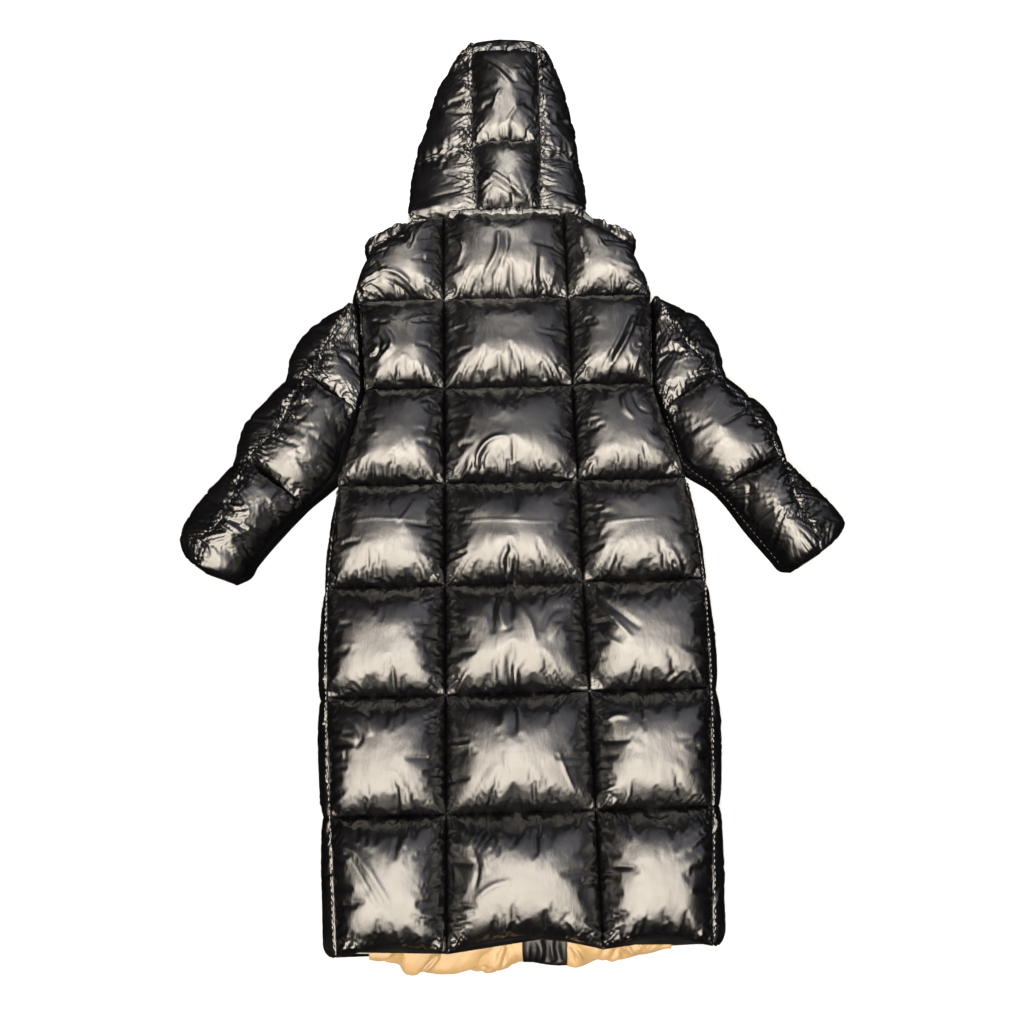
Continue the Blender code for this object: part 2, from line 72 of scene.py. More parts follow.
camera = put_in_scene(bpy.data.objects.new("camera", bpy.data.cameras.new("camera")))
camera.data.lens = 29.88
camera.data.clip_start = 0.05
camera.matrix_world = (
    Matrix.Translation((-0.015, -0.580, 1.400)) @ turned(-1.98, "Z") @ turned(17.57, "X") @ turned(0.40, "Z")
)
bpy.context.scene.camera = camera
print(f"camera {camera.location.z:.2f} m above the surface, {camera.data.lens:.1f} mm lens")

# %% [markdown]
# ## Floor and light
#
# Glossy black cloth has hardly any colour of its own: nearly all that we see on it are reflections. A warm lamp
# overhead lights the floor and the lining, and a weak one with a narrow cone, behind the hood, gives the hood its
# highlights. The coat doesn't reflect the floor, because a pale floor would turn its black sides grey.


# %% Lay the floor and hang the lights
def plain_material(name, colour, roughness):
    """An even finish, of one colour and one roughness."""
    made = bpy.data.materials.new(name)
    made.use_nodes = True
    shader = made.node_tree.nodes["Principled BSDF"]
    shader.inputs["Base Color"].default_value = (*colour, 1.0)
    shader.inputs["Roughness"].default_value = roughness
    return made


def area_light(name, place, tilt, size, watts, cone=180):
    """A warm rectangular light at place, in metres, that shines straight down in a cone, or tilted about X."""
    lamp = bpy.data.lights.new(name, "AREA")
    lamp.shape = "RECTANGLE"
    lamp.size, lamp.size_y = size
    lamp.energy, lamp.color, lamp.spread = watts, WARM, math.radians(cone)
    made = put_in_scene(bpy.data.objects.new(name, lamp))
    made.matrix_world = Matrix.Translation(place) @ turned(tilt, "X")
    made.visible_camera = False


WARM = (1.0, 0.92, 0.80)
FLOOR_HALF, FLOOR_Z = 6, -0.001  # metres
corners = [(x * FLOOR_HALF, y * FLOOR_HALF, FLOOR_Z) for x, y in ((-1, -1), (1, -1), (1, 1), (-1, 1))]
floor_mesh = bpy.data.meshes.new("floor")
floor_mesh.from_pydata(corners, [], [(0, 1, 2, 3)])
floor = put_in_scene(bpy.data.objects.new("floor", floor_mesh))
floor.data.materials.append(plain_material("pale floor", (0.80, 0.84, 0.93), 0.9))
floor.visible_glossy = False  # it would turn the black sides grey

area_light("warm lamp", (0.0, -0.35, 2.3), 0, (0.9, 0.9), 14.0)
area_light("lamp over the hood", (-0.05, 1.0, 0.9), -26, (0.7, 0.5), 0.7, cone=37)
print(f"a floor {2 * FLOOR_HALF} m wide and two lamps")

# %% [markdown]
# ## Joining nodes
#
# The room and all finishes are made of shader nodes. A small helper adds a node, sets its unlinked sockets and links
# the others, so that each node is one line. A socket goes by its name, or by its number where a node has two sockets
# of one name.


# %% Join nodes
def linked(tree, kind, values=(), links=()):
    """Adds a node. values sets what the node has by that name, or else the socket, and links feeds its sockets."""
    node = tree.nodes.new(kind)
    for key, value in dict(values).items():
        if isinstance(key, str) and hasattr(node, key):
            setattr(node, key, value)
        else:
            node.inputs[key].default_value = value
    for key, source in dict(links).items():
        tree.links.new(source, node.inputs[key])
    return node


print("nodes are added by", linked.__name__)

# %% [markdown]
# The room itself does most of the lighting. Seen from the coat, it is bright and warm overhead and a little towards
# the hem, dim and cool towards the hood, and dark near the horizon, so that steep cloth stays black. Each glow is the
# cosine of the angle from its own direction, stretched between two limits. The eye itself sees a plain pale room.

# %% Light the room
ROOM = [  # where the glow is centred, the cosines between which it grows, its strength and its colour
    {"toward": (-0.10, -0.45, 0.89), "from": 0.69, "to": 1.0, "strength": 12.2, "colour": (1.0, 0.90, 0.765)},
    {"toward": (0.40, 0.30, 0.87), "from": 0.68, "to": 1.0, "strength": 0.9, "colour": (0.92, 0.90, 1.0)},
    {"toward": (0.0, 0.0, 1.0), "from": 0.2, "to": 1.0, "strength": 0.12, "colour": (0.9, 0.9, 1.0)},
]
SIDEWAYS = 0.75  # below 1, the glows are wider across the coat than along it
MATT_SHARE = 0.34  # how strong the room is for matt surfaces
world = bpy.data.worlds.new("room")
world.use_nodes = True
room = world.node_tree


def vector_math(operation, values=(), links=()):
    """A node that does sums with vectors. Its sockets go by number."""
    return linked(room, "ShaderNodeVectorMath", {"operation": operation, **dict(values)}, links)


place = room.nodes.new("ShaderNodeTexCoord").outputs["Generated"]
drawn_out = vector_math("MULTIPLY", {1: (SIDEWAYS, 1.0, 1.0)}, {0: place})
outward = vector_math("NORMALIZE", links={0: drawn_out.outputs["Vector"]}).outputs["Vector"]
total = None
for glow in ROOM:
    cosine = vector_math("DOT_PRODUCT", {1: glow["toward"]}, {0: outward}).outputs["Value"]
    limits = {"From Min": glow["from"], "From Max": glow["to"], "To Max": glow["strength"]}
    reach = linked(room, "ShaderNodeMapRange", {"interpolation_type": "SMOOTHSTEP", **limits}, {"Value": cosine})
    light = vector_math("SCALE", {0: glow["colour"]}, {"Scale": reach.outputs["Result"]}).outputs["Vector"]
    total = light if total is None else vector_math("ADD", links={0: total, 1: light}).outputs["Vector"]
seen_by = room.nodes.new("ShaderNodeLightPath").outputs
share = linked(room, "ShaderNodeMapRange", {"To Min": MATT_SHARE}, {"Value": seen_by["Is Glossy Ray"]})
background = room.nodes["Background"]
room.links.new(total, background.inputs["Color"])
room.links.new(share.outputs["Result"], background.inputs["Strength"])
pale = linked(room, "ShaderNodeBackground", {"Color": (0.95, 0.95, 0.95, 1.0)})
parts = {0: seen_by["Is Camera Ray"], 1: background.outputs[0], 2: pale.outputs[0]}
choice = linked(room, "ShaderNodeMixShader", links=parts)
room.links.new(choice.outputs[0], room.nodes["World Output"].inputs["Surface"])
bpy.context.scene.world = world
bpy.context.scene.view_settings.view_transform = "Standard"
print("a room of", len(ROOM), "glows")

# %% [markdown]
# ## The coat's sizes
#
# The finer pieces have to lie exactly where the solids are, so the lesson repeats the coat's driving sizes. They are
# millimetres: X runs across the coat, Y from the hem to the hood, and Z up from the surface. At the very end each
# piece is moved so that the middle of the coat is over the origin, and turned into metres.

# %% Name the sizes
MM = 0.001
MIDDLE_Y = 799.9  # middle of the coat's box, over the origin
ROW_PITCH = 175.0  # from one stitched row to the next
ROWS = 7
NECK_Y = ROWS * ROW_PITCH
YOKE_Y = 6 * ROW_PITCH  # the stitched line from shoulder to shoulder
UNDERARM_Y = 738.0
HEM_Y, FRONT_HEM_Y = -12.0, -18.0
BODY_LINES = [HEM_Y] + [n * ROW_PITCH for n in range(1, ROWS + 1)]
COLUMN_HALF = 112.0  # half the width of the centre back panel
SEAM_GAP = 0.3  # between two pieces at a seam
INNER_Z, SEAM_Z = 40.0, 50.0  # under and over the upper layer at a stitched line
BACK_RISE = 46.0  # how far a back cell stands above its stitched lines
BACK_CROWN, SLEEVE_CROWN = 0.85, 0.88  # how much of a cell's rise the formula gives: the simulation adds the rest
NECK_LIFT = 4.0
HEM_INNER_Z, HEM_TAPER = 24.0, 105.0  # the fronts thin towards the hem
HEM_ARCH = {-1: 9.0, 0: 18.0, 1: 11.0}  # how far each back panel's hem draws up between its seams
EDGE_NOTCH = 5.0  # how far a stitched line pulls the outline in
ARMHOLE_LIP = 4.0
NECK_SLOPE, NECK_SLOPE_FROM, NECK_SLOPE_TO = 72.0, 119.0, 240.0  # the neck seam falls towards the shoulders
SIGN = {"left": -1.0, "right": 1.0}
SEED_STEP = {"left": 0, "right": 1}  # the right half's folds have the next seed
print(f"centre back {(NECK_Y - HEM_Y) / 1000:.2f} m in {ROWS} rows")

# %% [markdown]
# Outlines come from short tables, which are kept as named columns. We look a table up for a whole array of places at
# once. A straight lookup suits seams that a maker cuts straight. A smooth one follows a cubic curve through the rows,
# whose slope at each row is that between its two neighbours.


# %% Look up tables
def table(names, *rows):
    """Columns by name, from rows of numbers."""
    return dict(zip(names.split(), np.array(rows, dtype=float).T))


def grown(value, start, end):
    """0 up to start, 1 from end on, and straight in between."""
    return np.clip((value - start) / (end - start), 0.0, 1.0)


def straight(rows, at, name, key="y"):
    """The column at these places, on straight lines from row to row."""
    return np.interp(at, rows[key], rows[name])


def cubic(t, start, end, leaving, arriving):
    """From start to end as t grows from 0 to 1: values and slopes, each times its own cubic weight."""
    values = start * (2 * t**3 - 3 * t**2 + 1) + end * (3 * t**2 - 2 * t**3)
    return values + leaving * (t**3 - 2 * t**2 + t) + arriving * (t**3 - t**2)


def smooth(rows, at, name, key="y"):
    """The column at these places, on a cubic curve from row to row."""
    places, values = rows[key], rows[name]
    last = len(places) - 1
    n = np.arange(last + 1)
    before, after = np.maximum(n - 1, 0), np.minimum(n + 1, last)
    slope = (values[after] - values[before]) / (places[after] - places[before])
    at = np.asarray(at, dtype=float)
    i = np.clip(np.searchsorted(places[1:], at), 0, last - 1)
    span = places[i + 1] - places[i]
    return cubic((at - places[i]) / span, values[i], values[i + 1], slope[i] * span, slope[i + 1] * span)


print("halfway up a smooth step:", cubic(0.5, 0.0, 1.0, 0.0, 0.0))

# %% Draw the body's outline
BODY_SIDE = table(  # half width at the side seam and at the outline
    "y seam edge",
    (HEM_Y, 270.0, 291.0),
    (1 * ROW_PITCH, 285.0, 304.0),
    (2 * ROW_PITCH, 297.0, 315.0),
    (3 * ROW_PITCH, 302.0, 315.0),
    (4 * ROW_PITCH, 290.0, 299.0),
    (UNDERARM_Y, 285.0, 290.0),
)
ARMHOLE = table("y x", (UNDERARM_Y, 287.0), (5 * ROW_PITCH, 254.0), (YOKE_Y - 10.0, 266.0))
YOKE_SIDE = table(
    "y seam edge",
    (YOKE_Y - 10.0, 259.0, 265.5),
    (YOKE_Y + 14.0, 263.0, 270.0),
    (YOKE_Y + 50.0, 262.0, 274.0),
    (YOKE_Y + 110.0, 252.0, 264.0),
    (NECK_Y, 236.0, 243.0),
)
print(f"side seam at the hem {smooth(BODY_SIDE, HEM_Y, 'seam'):.0f} mm from the middle")

# %% [markdown]
# ## Rows of a quilted panel
#
# A cell is steep beside its stitches and nearly flat in its middle, so the grid needs more rows near the stitches.
# Mixing even steps with the steps of a sine does that. The cells of a panel follow each other, and share the row of
# points at the stitched line between them.

# %% Space the grid
CELL_STEPS = 40  # rows of points in one cell, before they are doubled


def dome(share, flat=2.0):
    """A crown over -1 to 1. With flat 2 it is the upper half of a circle, and above that its middle is flatter."""
    return np.sqrt(np.maximum(0.0, 1.0 - np.abs(share) ** flat))


def skewed(share, crest):
    """Shares counted from a crest that lies off the middle: the ends stay -1 and 1, and the crest becomes 0."""
    return np.where(share < crest, (share - crest) / (1 + crest), (share - crest) / (1 - crest))


def spaced(count, crowd=0.35):
    """Places from -1 to 1: even steps mixed with a sine's steps, which crowd towards both ends."""
    u = np.linspace(-1.0, 1.0, count + 1)
    return (1.0 - crowd) * u + crowd * np.sin(math.pi / 2 * u)


def quilt_rows(lines):
    """Rows through the cells between lines, as columns: the place, the cell's number and the share in it."""
    lines = np.asarray(lines, dtype=float)
    cells = len(lines) - 1
    cell = np.append(np.repeat(np.arange(cells), CELL_STEPS), cells - 1)
    share = np.append(np.tile(spaced(CELL_STEPS)[:-1], cells), 1.0)
    place = (lines[cell] + lines[cell + 1]) / 2 + share * (lines[cell + 1] - lines[cell]) / 2
    return place[:, None], cell[:, None], share[:, None]


body_y, body_cell, body_share = quilt_rows(BODY_LINES)
print(f"{len(body_y)} rows of points up the back")

# %% [markdown]
# ## Gathers
#
# Where nylon is drawn into a seam it gathers into small sharp waves that stand across the seam. They are closest
# together at the stitches. A few grow wider and run further into the cell, where the down pulls the cloth smooth.
# We add waves of three lengths along each seam. Each wave is a sum of sines of nearly the same length, so it never
# repeats, and each has its own reach. They are only seeds: the cloth simulation makes folds of them.


# %% Make waves
def bell(distance, width):
    """1 on a line and nearly 0 at two widths from it: e to the power of minus the square of distance by width."""
    return np.exp(-((distance / width) ** 2))


def clear_of(distance, reach):
    """0 on a line of stitches and nearly 1 at three reaches from it."""
    return 1 - np.exp(-distance / reach)


def waves(place, length, chance, count=4):
    """Irregular waves along a line: a sum of sines whose lengths lie round the one that is asked for."""
    lengths, starts = length * chance.uniform(0.7, 1.4, count), chance.uniform(0.0, 2 * math.pi, count)
    return sum(np.sin(2 * math.pi * place / l + s) for l, s in zip(lengths, starts)) / math.sqrt(count / 2)


def folds(place, length, chance, low=0.9):
    """Round backs with sharp valleys between them: the size of irregular waves, lowered so that its mean is near 0."""
    return 1.5 * np.abs(waves(place, length, chance)) - low


def ripples(x, y, length, chance, count=12):
    """Irregular waves over a plane: sines that run in all directions."""
    turns, lengths = chance.uniform(0.0, 2 * math.pi, count), length * chance.uniform(0.7, 1.5, count)
    starts = chance.uniform(0.0, 2 * math.pi, count)
    along = ((x * math.cos(a) + y * math.sin(a)) / l + s for a, l, s in zip(turns, lengths, starts))
    return sum(np.sin(2 * math.pi * p) for p in along) / math.sqrt(count / 2)


print(f"a bell is {bell(2.0, 1.0):.0%} high at two widths from its middle")

# %% Make gathers
GATHERS = [  # the length of a wave, how far it runs into the cell, and its height, mm
    {"wave": 18.0, "reach": 13.0, "height": 1.3},
    {"wave": 32.0, "reach": 24.0, "height": 1.7},
    {"wave": 64.0, "reach": 38.0, "height": 1.6},
]
FAN = 0.6  # how much the gathers close up towards the middle of the cell


def gathers(across, share, cell, width, length, seed):
    """Height of the gathers over a quilted panel, in mm.

    Beside each seam: folds times a bell curve of the distance from the seam, whose width changes along the seam, and
    nothing at the stitches or where another seam is nearer. Low, wide ripples over the whole cell are added."""
    chance = np.random.default_rng(seed)
    x, y = across * width / 2, ((share + 1) / 2 + cell) * length
    from_side, from_line = (1 - np.abs(across)) * width / 2, (1 - np.abs(share)) * length / 2
    drift = 1.5 * ripples(x, y, 70.0, chance)  # bends the gathers a little
    height = 0.5 * ripples(x, y, 55.0, chance) + 0.1 * ripples(x, 0.5 * y, 16.0, chance)
    for kind in GATHERS:
        for distance, other, half, place, seam, lift in (
            (from_line, from_side, length / 2, x, cell + (share > 0), 1.0),
            (from_side, from_line, width / 2, share * length / 2, 20 + 3 * cell + (across > 0), 0.75),
        ):
            fanned = place / np.maximum(0.3, 1 - FAN * distance / half)
            crest = folds(fanned + drift + 431.0 * seam, kind["wave"], chance)
            reach = kind["reach"] * np.clip(1 + 0.35 * waves(place + 517.0 * seam, 50.0, chance), 0.5, 1.6)
            near = bell(distance, reach) * clear_of(distance, 3) / (1 + (distance / (other + 1)) ** 4)
            drawn = lift * np.clip(0.8 + 0.6 * waves(place + 293.0 * seam, 75.0, chance), 0.1, 1.6)
            height = height + drawn * kind["height"] * crest * near
    return height * clear_of(np.minimum(from_side, from_line), 6)


print("gathers of", [kind["wave"] for kind in GATHERS], "mm")

# %% [markdown]
# ## From a grid to a wall
#
# A panel's grid is open, but a padded wall has an underside too. So each row of the grid becomes a closed ring: the
# dense points of the outer face, then a few points that run back underneath. Quads join each ring to the next, and
# one face closes each end. The sign of the volume tells whether the faces point outwards, and if they don't, all of
# them are turned round. An open sheet has no volume, so there the faces' own direction is looked at.

# %% Make a mesh
SHOULDER_SLIP, SIDE_SPREAD = 7.0, 5.5


def stacked(x, y, z):
    """One array of points from three arrays of the same shape, or of shapes that spread to the same one."""
    return np.stack(np.broadcast_arrays(x, y, z), axis=-1).astype(float)


def to_world(points):
    """Metres about the middle. A laid coat is never quite even: its shoulders slip left and its right side spreads."""
    x, y = points[..., 0], points[..., 1]
    # each factor fades the move in or out along X or Y
    slip = SHOULDER_SLIP * grown(np.abs(x), 120, 220) * grown(y, 1020, 1070) * grown(y, 1300, 1230)
    spread = SIDE_SPREAD * grown(x, 200, 280) * grown(x, 360, 335) * grown(y, -60, 380) * grown(y, 735, 650)
    return (points + stacked(spread - slip, 0.0, 0.0) - (0.0, MIDDLE_Y, 0.0)) * MM


def make_mesh(name, points, quads, ends=()):
    """A mesh from points in the coat's millimetres. ends are longer faces, each a list of corners."""
    mesh = bpy.data.meshes.new(name)
    mesh.from_pydata(to_world(points).tolist(), [], quads.tolist() + list(ends))
    mesh.update()
    mesh.shade_smooth()
    return put_in_scene(bpy.data.objects.new(name, mesh))


print("the middle of the coat goes to", to_world(stacked(0.0, MIDDLE_Y, 0.0)).tolist())

# %% Close a wall
SHARP_EDGE = 60  # degrees


def joined(index, following):
    """Quads between two equal arrays of points' numbers, from each row to the next."""
    return np.stack([index[:-1], following[:-1], following[1:], index[1:]], axis=-1).reshape(-1, 4)


def volume(points, quads):
    """Six times the volume inside the quads: the sum of the triple products of the corners of their triangles."""
    a, b, c, d = (points[quads[:, n]] for n in range(4))
    return np.einsum("ij,ij->", a, np.cross(b, c)) + np.einsum("ij,ij->", a, np.cross(c, d))


def closed_mesh(name, points, quads, ends):
    """A mesh of these faces, which are all turned round if the volume inside them is negative."""
    if volume(points - points.mean(axis=0), quads) < 0:
        quads, ends = quads[:, ::-1], [end[::-1] for end in ends]
    return make_mesh(name, points, quads, ends)


def close_wall(name, rings):
    """A closed wall through rings, an array of rows, points round each ring, and X, Y, Z."""
    index = np.arange(rings.shape[0] * rings.shape[1]).reshape(rings.shape[:2])
    quads = joined(index, np.roll(index, -1, axis=1))
    ends = [index[0, ::-1].tolist(), index[-1].tolist()]
    made = closed_mesh(name, rings.reshape(-1, 3), quads, ends)
    made.data.set_sharp_from_angle(angle=math.radians(SHARP_EDGE))
    return made


def open_sheet(name, points):
    """A mesh from a grid of points, with faces that point to the side that is up over most of it."""
    index = np.arange(points.shape[0] * points.shape[1]).reshape(points.shape[:2])
    quads = joined(index[:, :-1], index[:, 1:])
    corners = points.reshape(-1, 3)[quads[:, :3]]
    if np.cross(corners[:, 1] - corners[:, 0], corners[:, 2] - corners[:, 0])[:, 2].sum() < 0:
        quads = quads[:, ::-1]
    return make_mesh(name, points.reshape(-1, 3), quads)


print("walls are closed rings, and edges sharper than", SHARP_EDGE, "degrees stay sharp")

# %% [markdown]
# Gathers on a flat panel only have to raise it, but on a roll they must stand square to the cloth. The cross product
# of the directions along the rows and along the columns is square to both, so a point is pushed along that.


# %% Push points out
def normals(points):
    """Unit vectors square to a grid of points, on the side that is up over most of the grid."""
    along, across = np.gradient(points, axis=0), np.gradient(points, axis=1)
    square = np.cross(across, along)
    square /= np.maximum(np.linalg.norm(square, axis=-1, keepdims=True), 1e-9)
    return square * np.sign(square[..., 2].sum())


def push(points, height):
    """The points, each moved by its own height along the grid's normals."""
    return points + normals(points) * height[..., None]


flat_patch = stacked(np.arange(3.0)[None, :], np.arange(3.0)[:, None], 0.0)
print("a flat patch is pushed towards", normals(flat_patch)[0, 0].tolist())

# %% [markdown]
# ## Blowing the cells up
#
# The cloth simulation does what down does. All panels are laid out as cloth at the same moment and held at their
# stitches. The cloth is grown by a few percent, so that it is too long for its seams, and pressed outwards from
# below. Gravity is off. After some steps the middle of each cell is taut and smooth, and the rest of the length has
# gone into folds beside the seams, as on a real coat. Objects that have their own simulation run side by side, so
# one pass over the frames settles them all.

# %% Set up the cloth
CLOTH = {"pressure": 7.0, "grow": 0.035, "tension": 15.0, "shear": 5.0, "bending": 0.3, "mass": 0.3}
CLOTH_STEPS = 4  # of the simulation in each frame
SETTLE_FRAMES = 16
patches = {}


def lay_out(name, points, share):
    """Keeps a grid for the simulation. It is held at its stitched rows, where share is -1 or 1, and at its sides."""
    held = np.abs(np.broadcast_to(share, points.shape[:2])) > 0.9999
    held[:, 0] = held[:, -1] = True
    patches[name] = {"points": points, "held": held, "lines": np.flatnonzero(held.all(axis=1))}


def as_cloth(name, points, held):
    """A sheet with a cloth simulation, which stays where it is where held is true."""
    made = open_sheet(name, points)
    made.vertex_groups.new(name="held").add(np.flatnonzero(held).tolist(), 1.0, "REPLACE")
    cloth = made.modifiers.new("cloth", "CLOTH")
    cloth.collision_settings.use_collision = False
    cloth.point_cache.frame_start, cloth.point_cache.frame_end = 1, SETTLE_FRAMES + 1
    settings = cloth.settings
    settings.quality, settings.mass = CLOTH_STEPS, CLOTH["mass"]
    settings.tension_stiffness = settings.compression_stiffness = CLOTH["tension"]
    settings.shear_stiffness, settings.bending_stiffness = CLOTH["shear"], CLOTH["bending"]
    settings.vertex_group_mass, settings.shrink_min = "held", -CLOTH["grow"]
    settings.use_pressure, settings.uniform_pressure_force = True, CLOTH["pressure"]
    settings.effector_weights.gravity = 0.0
    return made


print(f"cloth grown by {CLOTH['grow']:.1%}")

# %% Settle the cloth
FURTHEST = 13.0  # how far the simulation may move a point, mm


def settle():
    """Runs the simulation once over all patches, and moves their points, none of them further than FURTHEST."""
    made = {name: as_cloth(f"{name} cloth", patch["points"], patch["held"]) for name, patch in patches.items()}
    for n in range(1, SETTLE_FRAMES + 1):
        bpy.context.scene.frame_set(n)
    graph = bpy.context.evaluated_depsgraph_get()
    for name, obj in made.items():
        points = patches[name]["points"]
        found = np.empty(points.size, dtype=np.float32)
        obj.evaluated_get(graph).data.vertices.foreach_get("co", found)
        moved = (found.reshape(points.shape) - to_world(points)) / MM
        far = np.linalg.norm(moved, axis=-1, keepdims=True)
        patches[name]["points"] = points + moved * np.minimum(1.0, FURTHEST / np.maximum(far, 1e-9))
        print(f"{name}: {far.size} points, furthest {far.max():.1f} mm, mean {far.mean():.1f} mm")
    for obj in made.values():
        mesh = obj.data
        bpy.data.objects.remove(obj)
        bpy.data.meshes.remove(mesh)
    bpy.context.scene.frame_set(1)


print("cloth is settled in", SETTLE_FRAMES, "frames")

# %% [markdown]
# The simulation is quick at a step of about 4 mm, but folds look soft only at half of that. So the settled grid is
# made finer: each new point lies on the smooth curve through its four neighbours. No curve runs across a stitched
# line, because the fold there has to stay sharp.


# %% Make a grid finer
def interleaved(rows, between):
    """Rows and the new rows that lie between them, in turn."""
    both = np.empty((2 * len(rows) - 1, *rows.shape[1:]))
    both[0::2], both[1::2] = rows, between
    return both


def finer(points, lines):
    """Doubles the rows. A new row is 9/16 of both neighbours less 1/16 of the next ones, and one-sided at a line."""
    parts = []
    for low, high in zip(lines, lines[1:]):
        p = points[low : high + 1]
        middle = np.empty((len(p) - 1, *p.shape[1:]))
        middle[1:-1] = (9 * (p[1:-2] + p[2:-1]) - p[:-3] - p[3:]) / 16
        middle[0] = (5 * p[0] + 15 * p[1] - 5 * p[2] + p[3]) / 16
        middle[-1] = (5 * p[-1] + 15 * p[-2] - 5 * p[-3] + p[-4]) / 16
        both = interleaved(p, middle)
        parts.append(both if high == lines[-1] else both[:-1])
    return np.concatenate(parts)


def finer_patch(name):
    """The points of a settled patch with its rows doubled and then its columns."""
    points = finer(patches[name]["points"], patches[name]["lines"])
    columns = np.swapaxes(points, 0, 1)
    return np.swapaxes(finer(columns, [0, len(columns) - 1]), 0, 1)


def doubled(rows):
    """Doubles rows that need no curve: each new row is the mean of its neighbours."""
    return interleaved(rows, (rows[:-1] + rows[1:]) / 2)


fine_y = doubled(body_y)
print("a finer grid has", len(fine_y), "rows up the back")

# %% [markdown]
# ## The back
#
# Three long columns make the back: a centre panel of even width, and two side panels whose outer edge follows the
# side seam, the armhole and the shoulder. In the top row the side panels slope down towards the shoulders. At the
# hem the free edge is drawn up a little between the column seams, because the down there pulls it short.


# %% Shape the back panels
def side_seam(y):
    """Half width at the seam between back and front or, higher up, along the armhole and the yoke."""
    armhole = straight(ARMHOLE, y, "x") - ARMHOLE_LIP
    upper = np.where(y < YOKE_Y - 10.0, armhole, smooth(YOKE_SIDE, y, "seam"))
    return np.where(y <= UNDERARM_Y, smooth(BODY_SIDE, y, "seam"), upper)


def sloped(x, y):
    """y after the neck seam's slope, which grows through the top row towards its outer end."""
    share = np.maximum(0.0, (y - YOKE_Y) / ROW_PITCH)
    out = np.maximum(0.0, (np.abs(x) - NECK_SLOPE_FROM) / (NECK_SLOPE_TO - NECK_SLOPE_FROM))
    return y - NECK_SLOPE * share * out


def column_edges(side, y):
    """Where a panel starts and ends across, half a gap off each seam."""
    if side == 0:
        half = COLUMN_HALF - SEAM_GAP / 2 + 0 * y
        return -half, half
    return COLUMN_HALF + SEAM_GAP / 2 + 0 * y, side_seam(y) - SEAM_GAP


def back_grid(side, steps=54, side_steps=44):
    """X runs between the panel's edges, Y up the rows, and Z is a crown over each cell: the product of two domes.

    The crowns of the lowest and the highest cell lie above their middles: the hem is thin, and the collar is under
    the neck and lifts it."""
    across = spaced(side_steps if side else steps)[None, :]
    low, high = column_edges(side, body_y)
    x = low + (high - low) * (across + 1) / 2
    arch = np.where(body_cell == 0, HEM_ARCH[side] * (1 - across**2) * np.maximum(0.0, -body_share) ** 3, 0.0)
    up = np.where(body_cell == 0, dome(skewed(body_share, 0.25), 2.2), dome(body_share, 3.0))
    up = np.where(body_cell == ROWS - 1, dome(skewed(body_share, 0.4), 2.2), up)
    z = SEAM_Z + NECK_LIFT * grown(body_y, YOKE_Y, NECK_Y) + BACK_CROWN * BACK_RISE * dome(across, 3.0) * up
    z = z + gathers(across, body_share, body_cell, high - low, ROW_PITCH, seed=3 + side)
    return stacked(x * (side or 1), sloped(x, body_y + arch), z)


BACKS = {"back_left": -1, "back_centre": 0, "back_right": 1}
for name, side in BACKS.items():
    lay_out(name, back_grid(side), body_share)
    print(name, patches[name]["points"].shape)

# %% [markdown]
# ## The sleeves
#
# Each sleeve is two pieces. The upper one lies between the underarm seam and the elbow seam. The lower one is the
# layer on the floor: it wraps round the outer edge in a fat roll up to the elbow seam, and round the inner edge in a
# narrow one. A station is three plan points: on the inner edge, on the elbow seam, which is the ridge, and on the
# outer edge. It is numbered by v, which counts quilted cells from the shoulder.

# %% Name the sleeves' stations
STATION = "v inner_x inner_y ridge_x ridge_y outer_x outer_y"
SLEEVES = {
    "left": table(
        STATION,
        (0.0, 266.4, 1040, 275, 1050, 285, 1060),
        (0.45, 258.6, 935, 316, 966, 356, 1010),
        (0.72, 254.4, 875, 330, 922, 384, 961),
        (1.0, 262.9, 839, 352, 900, 399, 908),
        (1.5, 287.0, UNDERARM_Y, 389, 803, 456, 826),
        (2.0, 352, 672, 440, 745, 480, 750),
        (2.5, 398, 620, 471, 647, 524, 684),
        (2.86, 432, 576, 509, 604, 556, 622),
        (2.94, 442, 557, 509, 577, 549, 599),
        (3.0, 464, 546, 504, 560, 533, 580),
    ),
    "right": table(
        STATION,
        (0.0, 266.4, 1040, 275, 1050, 286, 1061),
        (0.45, 258.6, 935, 312, 958, 355, 1010),
        (0.72, 254.4, 875, 340, 922, 380, 957),
        (1.0, 266.2, 825, 360, 890, 392, 896),
        (1.5, 287.0, UNDERARM_Y, 412, 813, 455, 823),
        (2.0, 355, 681, 455, 733, 480, 733),
        (2.5, 400, 612, 471, 657, 526, 671),
        (2.86, 436, 562, 492, 607, 557, 620),
        (2.94, 449, 545, 500, 580, 550, 603),
        (3.0, 466, 542, 505, 565, 537, 587),
    ),
}
SLEEVE_BAND = table(  # width of the lower piece's roll along the inner edge
    "v width", (0.0, ARMHOLE_LIP), (1.0, ARMHOLE_LIP), (1.5, 28.0), (2.0, 6.0), (2.5, 12.5), (3.0, 6.0)
)
SLEEVE_LINES = [0, 1, 2, 3]
UNDERARM_V = 1.5  # the station at the end of the armhole
SLEEVE_DROP = 27.0  # below the armhole, the underarm seam lies this much lower than the other seams
SLEEVE_RISE = np.array([22.0, 38.0, 36.0])  # upper piece, cell by cell
SLEEVE_PITCH = 195.0  # length of a cell
ELBOW = {"left": 0.66, "right": 0.36}  # height of the elbow seam over a cell, as a share of the cell's rise
sleeve_v, sleeve_cell, sleeve_share = quilt_rows(SLEEVE_LINES)
fine_v = doubled(sleeve_v)
print(f"{len(sleeve_v)} rows of points down a sleeve")


